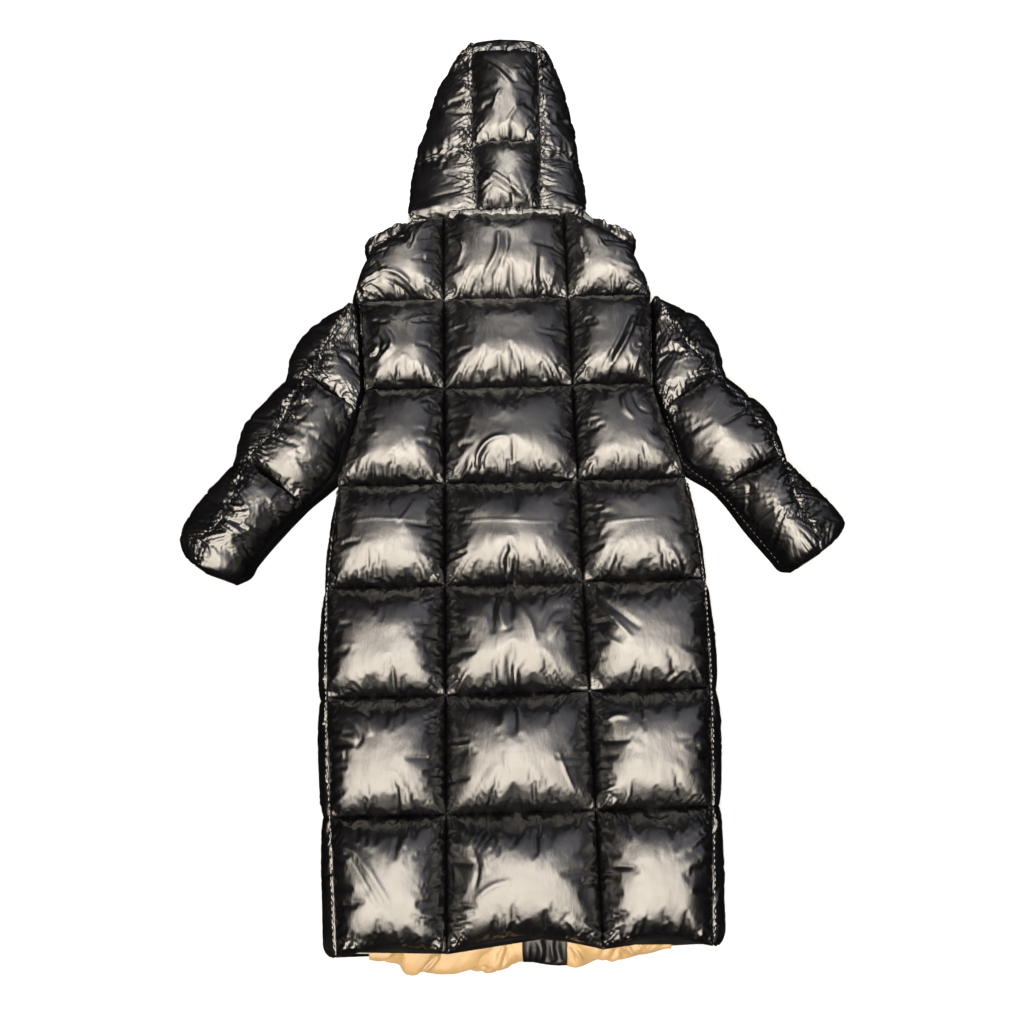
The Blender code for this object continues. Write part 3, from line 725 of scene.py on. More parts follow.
# %% Shape the sleeves' upper pieces
def station(side, v):
    """The three plan points of a sleeve at v, each an array of rows, 1, and X and Y."""

    def point(kind, look_up):
        """X and Y of one of the three points."""
        return np.stack([look_up(SLEEVES[side], v, f"{kind}_{axis}", "v") for axis in "xy"], axis=-1)

    inner = np.where(v[..., None] <= UNDERARM_V, point("inner", straight), point("inner", smooth))
    return inner, point("ridge", smooth), point("outer", smooth)


def underarm(v):
    """Width of the lower piece's roll along the inner edge, and how far the underarm seam lies below the others."""
    free = grown(v, 1.0, UNDERARM_V)
    return straight(SLEEVE_BAND, v, "width", "v") * (1 - 0.5 * free), SLEEVE_DROP * free


def elbow_lift(side):
    """How far the elbow seam lies above the other seams, because it runs over the top of each cell."""
    return ELBOW[side] * SLEEVE_RISE[sleeve_cell] * dome(sleeve_share, 3.0)


def apart(start, end):
    """Distance between each two points, with a last axis of one."""
    return np.linalg.norm(end - start, axis=-1, keepdims=True)


def toward(start, end, distance):
    """The points that lie a distance from start, towards end."""
    return start + (end - start) * distance / apart(start, end)


def over(side, plan, z):
    """Points at these heights over a plan that is given for the right half, mirrored for the left."""
    return stacked(SIGN[side] * plan[..., 0], plan[..., 1], z)


def sleeve_back_grid(side, steps=34):
    """Between the two seams, a crown over each cell. Towards the underarm seam it falls away by a quarter circle."""
    inner, ridge, _ = station(side, sleeve_v)
    band, drop = underarm(sleeve_v)
    start, end = toward(inner, ridge, band[..., None] + SEAM_GAP), toward(ridge, inner, SEAM_GAP / 2)
    across = spaced(steps)[None, :]
    plan = start + (end - start) * ((across + 1) / 2)[..., None]
    width = apart(start, end)[..., 0]
    lift = elbow_lift(side)
    rise = SLEEVE_CROWN * SLEEVE_RISE[sleeve_cell] - lift
    z = SEAM_Z + rise * dome(skewed(across, 0.3), 2.5) * dome(sleeve_share, 3.0)
    z = z + lift * (1 - ((1 - across) / 2) ** 2.2)
    z = z - drop * (1 - dome(np.minimum(0.0, across - 0.1) / 1.1))
    plain = np.where(sleeve_cell == 0, 0.4, 0.7)  # the shoulder is hardly drawn in
    drawn = gathers(across, sleeve_share, sleeve_cell, width, SLEEVE_PITCH, 11 + SEED_STEP[side])
    return over(side, plan, z + plain * drawn)


print("elbow seams lie up to", [round(float(elbow_lift(side).max())) for side in SIGN], "mm above the other seams")

# %% [markdown]
# A roll starts at a seam on top, goes over the edge and ends on the surface. The cloth hangs from the seam, so it
# is nowhere level: that is why these parts look black from above, where only level cloth mirrors the lights. The
# same formula shapes the sleeves' edges, the coat's sides and the hood's edge.

# %% Shape the sleeves' rolls
ROLL_OUT, ROLL_DOWN = 1.4, 1.9  # powers of the distance and of the height in a roll's section


def roll(width, seam_z, share):
    """Distance from the seam and height, for shares 0 at the seam to 1 on the surface.

    The distance to the power of ROLL_OUT and the height to that of ROLL_DOWN add up to one, each as a share of its
    largest value. So the cloth falls away from the seam at once and meets the surface upright."""
    angle = math.pi / 2 * share
    return width * np.sin(angle) ** (2 / ROLL_OUT), seam_z * np.maximum(0.0, np.cos(angle)) ** (2 / ROLL_DOWN)


def roll_shares(steps):
    """Shares from 0 to 1, closer together near the seam."""
    return np.linspace(0, 1, steps + 1)[None, :] ** 1.25


def sleeve_roll_grid(side, steps=26):
    """From the elbow seam over the outer edge to the surface."""
    _, ridge, outer = station(side, sleeve_v)
    ridge = toward(ridge, outer, SEAM_GAP / 2)
    width = apart(ridge, outer)[..., 0]
    width = np.maximum(1.2 * width - EDGE_NOTCH * (1 - dome(sleeve_share)), np.minimum(width, 6.0))
    share = roll_shares(steps)
    along, z = roll(width, SEAM_Z + elbow_lift(side), share)
    grid = over(side, toward(ridge, outer, along[..., None]), z)
    drawn = gathers(2 * share - 1, sleeve_share, sleeve_cell, 1.9 * width, SLEEVE_PITCH, 13 + SEED_STEP[side])
    return push(grid, 0.5 * drawn)


for side in SIGN:
    lay_out(f"sleeve_{side}_back", sleeve_back_grid(side), sleeve_share)
    lay_out(f"sleeve_{side}_front", sleeve_roll_grid(side), sleeve_share)
    print(f"sleeve, {side}:", patches[f"sleeve_{side}_back"]["points"].shape)

# %% [markdown]
# ## The hood
#
# The hood lies face down like the rest. A centre strip runs from the neck over the crown, and the two sides roll
# from its seams round to the surface. Past the last stitched line the crown rounds down to the surface, so all
# heights there are multiplied by a quarter circle.

# %% Name the hood's sizes
HOOD_LINES = [NECK_Y + 0.6, 1368.0, 1582.0, 1645.5]
HOOD = table(
    "y edge_left seam_left seam_right edge_right",
    (HOOD_LINES[0], -157, -50, 69, 145),
    (1265.0, -166, -51, 70, 150),
    (1310.0, -167, -53, 72, 152),
    (1380.0, -163, -57, 75, 146),
    (1425.0, -152, -56, 75, 141),
    (1475.0, -139, -55, 76, 136),
    (1545.0, -124, -54, 76, 124),
    (1590.0, -103, -52, 75, 113),
    (1625.0, -80, -48, 70, 100),
    (1642.0, -58, -41, 62, 83),
)
CROWN_Y = 1646.5  # where the crown meets the surface
HOOD_INNER_Z, HOOD_SEAM_Z = 50.0, 60.0
HOOD_CLIMB = 20.0  # how much higher the seams lie at the last stitched line than at the neck
HOOD_RISE = np.array([43.0, 33.0, 7.0])
HOOD_BASE = 14.0  # the sides climb over this length from the neck seam
FACE_X = 10.0  # where the edges of the face opening meet, underneath
COLLAR_Z, COLLAR_FAR = 38.0, 1276.0  # the collar passes under the hood up to here
hood_y, hood_cell, hood_share = quilt_rows(HOOD_LINES)
fine_hood_y = doubled(hood_y)
hood_seam_z = HOOD_SEAM_Z + HOOD_CLIMB * grown(hood_y, NECK_Y, HOOD_LINES[-2])
hood_pitch = np.diff(HOOD_LINES)[hood_cell]
print(f"hood {CROWN_Y - NECK_Y:.0f} mm long")


# %% Shape the hood
def crown_fall(y):
    """1 up to the last stitched line, and a quarter circle from there down to the surface."""
    return dome(np.maximum(0.0, (y - HOOD_LINES[-2]) / (CROWN_Y - HOOD_LINES[-2])))


def collar_below(y):
    """Height that the hood's sides rest on: the collar near the neck, and the surface past it."""
    return COLLAR_Z * (1 - grown(y, COLLAR_FAR - 26.0, COLLAR_FAR))


def hood_centre_grid(steps=34):
    """Between the strip's two seams, a crown over each cell, all heights times the crown's fall.

    Each crest lies a little towards the crown, so that most of the cell slopes down to the neck."""
    across = spaced(steps)[None, :]
    low = smooth(HOOD, hood_y, "seam_left") + SEAM_GAP / 2
    high = smooth(HOOD, hood_y, "seam_right") - SEAM_GAP / 2
    z = hood_seam_z + HOOD_RISE[hood_cell] * dome(across, 3.0) * dome(skewed(hood_share, 0.1), 3.0)
    plain = np.where(hood_cell < 2, 0.8, 0.3)
    z = z + plain * gathers(across, hood_share, hood_cell, high - low, hood_pitch, seed=21)
    return stacked(low + (high - low) * (across + 1) / 2, hood_y, z * crown_fall(hood_y))


def hood_side_grid(side, steps=28):
    """A roll from the strip's seam over the edge to the surface, or to the collar where that passes underneath.

    At the neck the sides start flat on what they rest on, and climb to their full height within HOOD_BASE."""
    seam = SIGN[side] * smooth(HOOD, hood_y, f"seam_{side}")
    edge = SIGN[side] * smooth(HOOD, hood_y, f"edge_{side}") - EDGE_NOTCH * (1 - dome(hood_share))
    share = roll_shares(steps)
    rest = collar_below(hood_y)
    along, z = roll(1.13 * (edge - seam), hood_seam_z * crown_fall(hood_y) - rest, share)
    low = np.clip(3 * share, 0, 1) * (1 - grown(hood_y, NECK_Y, NECK_Y + HOOD_BASE))
    grid = stacked(SIGN[side] * (seam + along), hood_y, rest + z * (1 - low))
    plain = np.array([0.3, 0.6, 0.2])[hood_cell]
    width, seed = 1.9 * (edge - seam), 22 + SEED_STEP[side]
    return push(grid, plain * gathers(2 * share - 1, hood_share, hood_cell, width, hood_pitch, seed))


lay_out("hood_centre", hood_centre_grid(), hood_share)
for side in SIGN:
    lay_out(f"hood_{side}", hood_side_grid(side), hood_share)
print("hood", patches["hood_centre"]["points"].shape)

# %% [markdown]
# ## Settle everything
#
# Now the down goes in.

# %% Run the simulation
settle()
top_of = {name: finer_patch(name) for name in patches}
print(sum(top[..., 0].size for top in top_of.values()), "points in the finer grids")

# %% [markdown]
# ## Fine puckers
#
# On the finer grid there is room for the smallest detail: puckers a few millimetres long that the needle leaves
# beside each stitch. They stand right at the seam and fade within a centimetre. The elbow seams and the seams of the
# hood's sides carry two padded edges on top of each other. They crinkle far more, and further out.

# %% Measure to the seams
PUCKER = {"wave": 6.5, "height": 0.45}
CRINKLE = {"wave": 19.0, "reach": 22.0, "height": 2.6}
CRINKLED_SIDE = {"sleeve_left_back": -1, "sleeve_right_back": -1}  # the column of points that lies on such a seam
CRINKLED_SIDE |= {name: 0 for name in ("sleeve_left_front", "sleeve_right_front", "hood_left", "hood_right")}
LONGER = {"back": 1.0, "sleeve": 1.5, "hood": 2.5}  # thicker seams pucker in longer waves


def edge_distance(points, lines):
    """Distance along the grid from each point to the nearest side and the nearest stitched row, in mm, and how far
    the point is along its row and along its column."""
    across = np.linalg.norm(np.diff(points, axis=1), axis=-1)
    run = np.concatenate([np.zeros((len(points), 1)), np.cumsum(across, axis=1)], axis=1)
    from_side = np.minimum(run, run[:, -1:] - run)
    middle = points[:, points.shape[1] // 2]
    climb = np.append(0.0, np.cumsum(np.linalg.norm(np.diff(middle, axis=0), axis=-1)))
    from_line = np.abs(climb[:, None] - climb[lines][None, :]).min(axis=1)[:, None]
    return from_side, from_line, run, climb[:, None]


print("crinkled seams on", len(CRINKLED_SIDE), "panels")


# %% Add the puckers
def pucker(points, lines, seed, crinkled, wave):
    """Pushes out waves along each seam: times a bell curve of the distance, and nothing at the stitches.

    Along a crinkled side come folds with round backs and sharp valleys, whose bell curve is wider. They run aslant
    and end before the panel does."""
    chance = np.random.default_rng(seed)
    from_side, from_line, run, climb = edge_distance(points, lines)
    height = 0.0
    for distance, place in ((from_line, run), (from_side, climb)):
        crest = waves(place + 2.0 * ripples(run, climb, 40.0, chance), wave, chance)
        height = height + PUCKER["height"] * crest * (bell(distance, 1.6 * wave) * clear_of(distance, 1.5))
    if crinkled is not None:
        distance = run if crinkled == 0 else run[:, -1:] - run
        aslant = climb + 0.35 * distance * np.sign(waves(climb, 60.0, chance)) + 1.2 * ripples(run, climb, 45.0, chance)
        reach = CRINKLE["reach"] * (1 + 0.4 * waves(climb, 45.0, chance))
        from_end = np.minimum(climb, climb[-1] - climb)
        high = CRINKLE["height"] * np.clip(run[:, -1:] / 70, 0.1, 1.0) * grown(from_end, 4.0, 30.0)
        crest = folds(aslant, CRINKLE["wave"], chance, low=0.7)
        height = height + high * crest * (bell(distance, reach) * clear_of(distance, 2))
    return push(points, height * clear_of(np.minimum(from_side, from_line), 2))


for n, name in enumerate(top_of):
    wave = PUCKER["wave"] * (LONGER[name.split("_")[0]] if name in CRINKLED_SIDE or name == "hood_centre" else 1.0)
    top_of[name] = pucker(top_of[name], 2 * patches[name]["lines"], 50 + n, CRINKLED_SIDE.get(name), wave)
print("puckers on", len(top_of), "panels")

# %% [markdown]
# ## Creases from wear
#
# Formulas give every cell the same kind of folds, but a real coat has its own: a pinch where it was packed, a crease
# that runs to a corner, a fine line where it was folded. These are listed one by one. Each is a path over one panel,
# given by a few points, with a width and a height. A height below 0 makes a trough. The cloth is raised by a bell curve
# of the distance to the path, which sinks to nothing at both ends of the path.

# %% List the creases
CREASES = {  # on each piece: how wide and how high, in mm, and the points of the path
    "back_left": [
        (1.8, 0.8, (-265, 624), (-222, 628), (-174, 625), (-130, 623)),
        (4.5, 2.5, (-251, 335), (-226, 311), (-220, 290)),
        (4.0, -2.5, (-257, 317), (-235, 290), (-243, 273)),
        (4.5, 2.5, (-246, 137), (-216, 101), (-187, 56)),
        (4.0, -2.5, (-248, 121), (-227, 91), (-204, 54)),
        (4.0, 4.0, (-217, 1093), (-184, 1084), (-151, 1054)),
        (3.5, -3.0, (-212, 1078), (-184, 1065), (-159, 1046)),
        (3.5, 2.5, (-153, 1058), (-134, 1050), (-114, 1047)),
        (5.0, 3.5, (-237, 993), (-210, 968), (-199, 941), (-223, 911)),
        (4.5, -3.0, (-234, 969), (-220, 945), (-233, 915)),
        (3.0, 1.6, (-182, 620), (-167, 640), (-156, 662)),
        (3.0, 1.6, (-182, 620), (-192, 640), (-197, 663)),
        (3.0, 3.5, (-259, -1), (-247, 3), (-238, 4), (-231, 12)),
        (2.5, -2.5, (-262, 6), (-249, 9), (-238, 10)),
        (2.5, 3.0, (-238, 4), (-233, 0), (-232, -7)),
        (3.0, 3.0, (-120, 12), (-121, 4), (-122, -6)),
    ],
    "back_centre": [
        (1.8, 0.8, (-101, 620), (-36, 620), (28, 616), (79, 616)),
        (4.5, 5.0, (-4, 503), (-13, 532), (-19, 555), (-7, 578)),
        (3.5, -3.0, (-7, 578), (4, 561), (0, 528), (-1, 506)),
        (4.0, 4.0, (-50, 705), (-56, 729), (-44, 750), (-25, 762), (-4, 764)),
        (3.5, -2.5, (-45, 708), (-48, 729), (-34, 745)),
        (5.0, -3.0, (-30, 495), (-36, 471), (-36, 437)),
        (4.0, 3.0, (-19, 500), (-24, 471), (-18, 443)),
        (4.0, -2.5, (-6, 502), (-11, 476), (-8, 441)),
        (5.0, 2.5, (3, 485), (22, 454), (30, 420)),
        (6.0, -2.5, (39, 438), (57, 469), (85, 478)),
        (5.0, 2.0, (52, 425), (73, 453), (95, 460)),
        (2.5, 1.5, (57, 262), (68, 230), (82, 199)),
        (2.5, 1.2, (-24, 261), (-19, 236), (-11, 212)),
        (4.0, 2.2, (-81, 152), (-58, 124), (-50, 97)),
        (4.0, 2.0, (-70, 61), (-45, 79), (-16, 86)),
        (3.5, -2.2, (-75, 132), (-64, 105), (-70, 74)),
        (5.0, 3.2, (-11, 1158), (-14, 1120), (-42, 1072)),
        (4.5, -2.5, (3, 1162), (2, 1120), (-20, 1075)),
        (4.5, 4.5, (58, 1132), (52, 1071), (67, 1038), (80, 1066), (93, 1102)),
        (4.0, -3.0, (64, 1111), (63, 1079), (71, 1058)),
        (3.5, 2.5, (2, 1063), (13, 1049), (25, 1040)),
        (4.0, 2.5, (-89, 1157), (-76, 1132), (-87, 1103)),
        (3.0, 3.0, (-105, 11), (-104, 3), (-101, -7)),
    ],
    "back_right": [
        (1.8, 0.8, (118, 608), (157, 612), (206, 616), (231, 615)),
        (4.5, 3.0, (127, 487), (150, 458), (179, 423)),
        (4.0, -2.5, (134, 493), (160, 467), (193, 438)),
        (4.5, 2.5, (122, 455), (139, 430), (163, 411)),
        (4.5, 2.5, (124, 295), (144, 309), (168, 308)),
        (4.0, 3.0, (132, 1163), (139, 1129), (148, 1100)),
        (4.5, 4.0, (228, 996), (205, 940), (167, 880)),
        (4.0, -3.0, (216, 996), (193, 942), (161, 889)),
        (3.5, 3.0, (242, 969), (228, 923), (212, 879)),
        (4.5, 3.0, (190, 840), (193, 810), (208, 791)),
        (3.5, -2.5, (209, 843), (217, 813), (233, 802)),
        (2.5, 3.0, (112, 10), (112, 2), (116, -8)),
        (3.0, 3.5, (236, -8), (244, 0), (252, 9)),
    ],
    "lining_left": [
        (2.6, 5.1, (-180, -9), (-171, -14), (-163, -26)),
        (2.2, -4.4, (-129, -19), (-142, -30), (-155, -42)),
        (3.0, 4.4, (-122, -18), (-133, -29), (-146, -42)),
        (2.6, 4.1, (-151, -14), (-155, -22), (-158, -30)),
        (1.6, -3.4, (-57, -17), (-66, -27), (-65, -36), (-54, -38), (-44, -31), (-41, -17)),
        (3.0, 5.1, (-30, -6), (-36, -19), (-43, -32), (-59, -41)),
        (2.0, -4.1, (-24, -9), (-29, -23), (-37, -37)),
        (3.5, 3.7, (-8, -8), (-3, -21), (-6, -33)),
    ],
    "lining_right": [
        (1.8, -3.7, (61, -10), (68, -22), (72, -36)),
        (3.0, 4.1, (68, -10), (77, -21), (83, -33)),
        (2.2, -4.4, (136, -13), (140, -21), (144, -28)),
        (4.0, 5.4, (148, -13), (155, -22), (160, -30)),
        (1.8, -3.7, (163, -7), (170, -15), (174, -23)),
    ],
    "facing": [
        (5.0, 5.0, (4, 2), (2, -14), (5, -32)),
        (5.0, -4.0, (12, 2), (13, -14), (10, -32)),
        (5.0, 5.0, (20, 2), (24, -14), (21, -32)),
        (5.0, -5.0, (30, 2), (33, -14), (30, -32)),
        (5.0, 4.0, (40, 2), (39, -14), (44, -32)),
        (5.0, -4.0, (49, 2), (46, -14), (52, -32)),
        (5.0, 4.0, (56, 2), (58, -14), (57, -32)),
    ],
    "hood_centre": [
        (3.5, 3.0, (-45, 1297), (1, 1266), (43, 1235)),
        (4.0, -2.5, (-46, 1287), (-4, 1256), (34, 1232)),
        (5.0, 3.0, (-37, 1537), (-5, 1505), (23, 1469)),
        (5.0, -3.0, (-32, 1545), (2, 1513), (30, 1476)),
        (4.0, 2.5, (2, 1462), (-10, 1440), (-14, 1420)),
        (4.0, 2.5, (38, 1432), (20, 1410), (12, 1396)),
    ],
    "hood_left": [
        (4.5, 4.0, (-112, 1394), (-98, 1376), (-78, 1370), (-58, 1378)),
        (4.5, -3.0, (-108, 1382), (-90, 1366), (-70, 1362)),
    ],
}
print(sum(len(rows) for rows in CREASES.values()), "creases on", len(CREASES), "pieces")


# %% Lay the creases
def through(path, count=24):
    """A smooth line through the points of a path: cubic, with half the step between two neighbours as the slope."""
    rows = table("n x y", *((n, x, y) for n, (x, y) in enumerate(path)))
    at = np.linspace(0, len(path) - 1, count)
    return np.stack([smooth(rows, at, "x", "n"), smooth(rows, at, "y", "n")], axis=-1)


def beside(points, line):
    """Distance of each point from a line, seen from above, and the share of the line's length at the nearest place."""
    nearest, share = np.full(points.shape[:-1], 1e9), np.zeros(points.shape[:-1])
    for n, (start, end) in enumerate(zip(line, line[1:])):
        step = end - start
        along = np.clip(((points[..., :2] - start) @ step) / (step @ step), 0, 1)
        distance = np.linalg.norm(points[..., :2] - start - along[..., None] * step, axis=-1)
        share = np.where(distance < nearest, (n + along) / (len(line) - 1), share)
        nearest = np.minimum(distance, nearest)
    return nearest, share


def worn(name, points):
    """Height of all creases that are laid on this piece."""
    height = np.zeros(points.shape[:-1])
    for wide, high, *path in CREASES.get(name, ()):
        distance, share = beside(points, through(path))
        ends = np.sqrt(np.maximum(0.0, np.sin(math.pi * np.clip(share, 0.0, 1.0))))
        height += high * bell(distance, wide) * ends
    return height


for name, points in top_of.items():
    from_side, from_line, *_ = edge_distance(points, 2 * patches[name]["lines"])
    top_of[name] = push(points, worn(name, points) * clear_of(np.minimum(from_side, from_line), 3))
    top_of[name][..., 2] = np.maximum(top_of[name][..., 2], 0.0)
print("highest point of the back at", round(float(top_of["back_centre"][..., 2].max()), 1), "mm")

# %% [markdown]
# ## Glossy nylon
#
# Down-proof nylon is woven so tightly, and pressed so flat, that it shines. Its highlight is broad and a little
# grainy, because every thread is a tiny roller. The shader is a nearly black base with a fairly rough highlight and
# a thin clear coat for the sharp glints on the folds. Noise varies the roughness, and three bumps are stacked: soft
# crumples some centimetres long, fine creases, and the weave, which shows only from close by.


# %% Make patterns
def noise(tree, place, scale, detail=3.0, rough=0.5, stretch=(1.0, 1.0, 1.0)):
    """Noise of about 1/scale metres, drawn out along an axis where stretch is below 1."""
    mapped = linked(tree, "ShaderNodeMapping", {"Scale": stretch}, {"Vector": place}).outputs["Vector"]
    values = {"Scale": scale, "Detail": detail, "Roughness": rough}
    return linked(tree, "ShaderNodeTexNoise", values, {"Vector": mapped}).outputs["Fac"]


def weave(tree, place, threads):
    """The height of a plain weave: two sets of bands that cross, with this many threads a metre, multiplied."""
    bands = {}
    for n, axis in enumerate("XY"):
        values = {"bands_direction": axis, "Scale": threads / math.tau * 2, "Distortion": 0.4, "Detail": 1.0}
        bands[n] = linked(tree, "ShaderNodeTexWave", values, {"Vector": place}).outputs["Fac"]
    return linked(tree, "ShaderNodeMath", {"operation": "MULTIPLY"}, bands).outputs[0]


def bumps(tree, place, layers):
    """A stack of bumps, each feeding the next. A layer is a pattern, its settings, its strength and its height."""
    normal = {}
    for pattern, settings, strength, distance in layers:
        links = {"Height": pattern(tree, place, *settings), **normal}
        node = linked(tree, "ShaderNodeBump", {"Strength": strength, "Distance": distance}, links)
        normal = {"Normal": node.outputs["Normal"]}
    return normal["Normal"]


def between_values(tree, factor, low, high):
    """Maps a factor's middle, 0.3 to 0.7, onto low to high."""
    values = {"From Min": 0.3, "From Max": 0.7, "To Min": low, "To Max": high}
    return linked(tree, "ShaderNodeMapRange", values, {"Value": factor}).outputs["Result"]


def between_colours(tree, factor, dark, light):
    """Maps the same stretch of a factor onto two colours."""
    ramp = linked(tree, "ShaderNodeValToRGB", links={"Fac": factor})
    for stop, position, colour in zip(ramp.color_ramp.elements, (0.3, 0.7), (dark, light)):
        stop.position, stop.color = position, (*colour, 1)
    return ramp.outputs["Color"]


print("patterns:", noise.__name__, weave.__name__)


# %% Mix the nylon
def cloth_finish(name, colours, roughness, scales, layers, sockets):
    """A cloth whose colour and roughness follow noise of two scales, with a stack of bumps and plain sockets."""
    made = bpy.data.materials.new(name)
    made.use_nodes = True
    tree = made.node_tree
    shader = tree.nodes["Principled BSDF"]
    place = tree.nodes.new("ShaderNodeTexCoord").outputs["Object"]
    colour_noise, gloss_noise = (noise(tree, place, scale) for scale in scales)
    tree.links.new(between_colours(tree, colour_noise, *colours), shader.inputs["Base Color"])
    tree.links.new(between_values(tree, gloss_noise, *roughness), shader.inputs["Roughness"])
    tree.links.new(bumps(tree, place, layers), shader.inputs["Normal"])
    for socket, value in sockets.items():
        shader.inputs[socket].default_value = value
    return made


def nylon(name, roughness, ior):
    """Nearly black nylon: soft crumples, creases drawn out along one way, and the weave."""
    colours = (0.0015, 0.0015, 0.0022), (0.0035, 0.0033, 0.0045)
    layers = [
        (noise, (40.0, 2.0), 0.3, 0.0012),
        (noise, (150.0, 5.0, 0.6, (1.0, 0.35, 1.0)), 0.6, 0.0008),
        (weave, (2600.0,), 0.08, 0.00008),
    ]
    sockets = {"IOR": ior, "Coat Weight": 0.08, "Coat Roughness": 0.2, "Coat IOR": 1.5}
    return cloth_finish(name, colours, roughness, (9.0, 35.0), layers, sockets)


SHELL = nylon("glossy black nylon", (0.29, 0.365), 1.75)
TAPE = nylon("black tape", (0.40, 0.50), 1.38)
print("nylon with", len(SHELL.node_tree.nodes), "nodes")

# %% [markdown]
# ## Close and dress the back
#
# Every wall gets its ends rounded: two more rings, drawn together and moved outwards, make a soft folded edge where
# the cloth would be turned in. Then the piece takes the node's place and rides on the coat's one body.


# %% Dress the back panels
def cap(end, before):
    """Two smaller rings past an end, each further out along the rows' own direction."""
    out = (end - before).mean(axis=0)
    out[2] = 0.0
    out /= np.linalg.norm(out)
    middle = (end[:, 2].min() + end[:, 2].max()) / 2
    made = []
    for keep, distance in ((0.82, 1.5), (0.45, 2.3)):
        ring = end + out * distance
        ring[:, 2] = middle + (end[:, 2] - middle) * keep
        made.append(ring)
    return np.array(made)


def rounded(rings):
    """The rings with two smaller ones past either end."""
    return np.concatenate([cap(rings[0], rings[1])[::-1], rings, cap(rings[-1], rings[-2])])


def underneath(top, low_z, count=9):
    """Closes rings a few points below a panel's grid, from its last column back to its first, at low_z or lower."""
    columns = np.linspace(top.shape[1] - 1, 0, count).round().astype(int)
    below = top[:, columns].copy()
    below[..., 2] = np.minimum(low_z, below[..., 2] - 4.0)
    return np.concatenate([top, below], axis=1)


def dress(made, finish, node=None):
    """Gives a piece its finish and body, and where it is given, the node that it replaces."""
    made.data.materials.append(finish)
    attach(made, "root")
    if node:
        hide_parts(node)
    print(f"{made.name}: {2 * len(made.data.polygons)} triangles")
    return made


def quilt(name, rings):
    """A wall with rounded ends that takes the place of the node of this name."""
    dress(close_wall(f"{name}_quilt", rounded(rings)), SHELL, name)


for name in BACKS:
    quilt(name, underneath(top_of[name], INNER_Z + SEAM_GAP))

# %% [markdown]
# ## The fronts
#
# The fronts are the layer on the floor. Only their rolled sides show from above, beside the side seams. Underneath
# they are pressed flat, with a shallow groove at each stitched row, and they thin towards the hem.

# %% Measure the fronts
CLOSURE_HEM_X, CLOSURE_HALF = 29.0, 14.0
GROOVE_HIGH, GROOVE_WIDE = 4.5, 5.0  # a stitched row lifts the underside off the floor
PRESSED = {"wave": 13.0, "reach": 17.0, "height": 1.4}  # the puckers beside it
SIDE_FOLD = {"wave": 19.0, "reach": 4.0, "height": 0.8}  # folds at the side seam
CORNER_DRAWN, CORNER_HIGH = 11.0, 40.0  # beside the lining the hem is drawn in, and this far up no more
front_y = fine_y - (HEM_Y - FRONT_HEM_Y) * np.clip(1 - (fine_y - HEM_Y) / 10, 0, 1)  # reaches to the fronts' hem


def in_cell(lines, y):
    """The number of the cell at y, and the share in it from -1 to 1."""
    lines = np.asarray(lines, dtype=float)
    cell = np.clip(np.searchsorted(lines, y, side="right") - 1, 0, len(lines) - 2)
    return cell, np.clip(2 * (y - lines[cell]) / (lines[cell + 1] - lines[cell]) - 1, -1, 1)


def fronts_top(y):
    """Height of the fronts' upper side: a quarter of a sine's wave from the hem on, then level."""
    share = np.clip((y - FRONT_HEM_Y) / HEM_TAPER, 0, 1)
    return HEM_INNER_Z + (INNER_Z - HEM_INNER_Z) * np.sin(math.pi / 2 * share)


def outline(y, share):
    """Half width at the outline: the table's, less a notch at each stitched row."""
    low = smooth(BODY_SIDE, y, "edge") - smooth(BODY_SIDE, y, "seam")
    high = smooth(YOKE_SIDE, y, "edge") - smooth(YOKE_SIDE, y, "seam")
    free = np.where(y < UNDERARM_Y, low, high)
    notch = np.where(y > ROW_PITCH / 2, EDGE_NOTCH * (1 - dome(share)), 0.0)
    made = side_seam(y) + np.maximum(free - notch, np.minimum(free, 6.0))
    return np.where((y > UNDERARM_Y - 1) & (y < YOKE_Y - 9), straight(ARMHOLE, y, "x") - SEAM_GAP / 2, made)


def closure_x(y):
    """The middle of the closure, which slants from the hem to the middle of the neck."""
    return CLOSURE_HEM_X * (1 - np.maximum(0.0, y) / NECK_Y)


def pressed(x, y, lines, seed):
    """Height of a quilted underside that is pressed flat: a groove along each stitched row, with puckers beside it."""
    chance = np.random.default_rng(seed)
    distance = np.abs(y[..., None] - np.asarray(lines)).min(axis=-1)
    puckers = PRESSED["height"] * np.maximum(0.0, waves(x, PRESSED["wave"], chance)) * bell(distance, PRESSED["reach"])
    return GROOVE_HIGH * bell(distance, GROOVE_WIDE) + puckers * clear_of(distance, 3)


print(f"closure {closure_x(HEM_Y):.0f} mm off the middle at the hem")


# %% Dress the fronts
def front_strip(side):
    """The rolled side from the side seam to the floor. It is narrower at the hem's corner, and has folds of its own."""
    cell, share = in_cell(BODY_LINES, fine_y)
    across = roll_shares(14)
    width = outline(fine_y, share) - side_seam(fine_y)
    corner = 0.5 + 0.5 * dome(np.minimum(0.0, (fine_y - HEM_Y) / 22 - 1))
    along, z = roll(1.35 * width * corner, SEAM_Z - 4.0, across)
    strip = stacked(SIGN[side] * (side_seam(fine_y) + along), front_y + 0 * along, z)
    chance = np.random.default_rng(31 + SEED_STEP[side])
    drawn = SIDE_FOLD["height"] * folds(front_y + 4 * ripples(along, front_y, 40.0, chance), SIDE_FOLD["wave"], chance)
    drawn = drawn * bell(along - 1.5, SIDE_FOLD["reach"]) * clear_of(along, 1)
    drawn = drawn + (1 - across**2) * gathers(2 * across - 1, share, cell, 60.0, ROW_PITCH, 38 + SEED_STEP[side])
    strip = push(strip, drawn)
    strip[..., 2] = np.maximum(strip[..., 2], 0.0)
    return strip


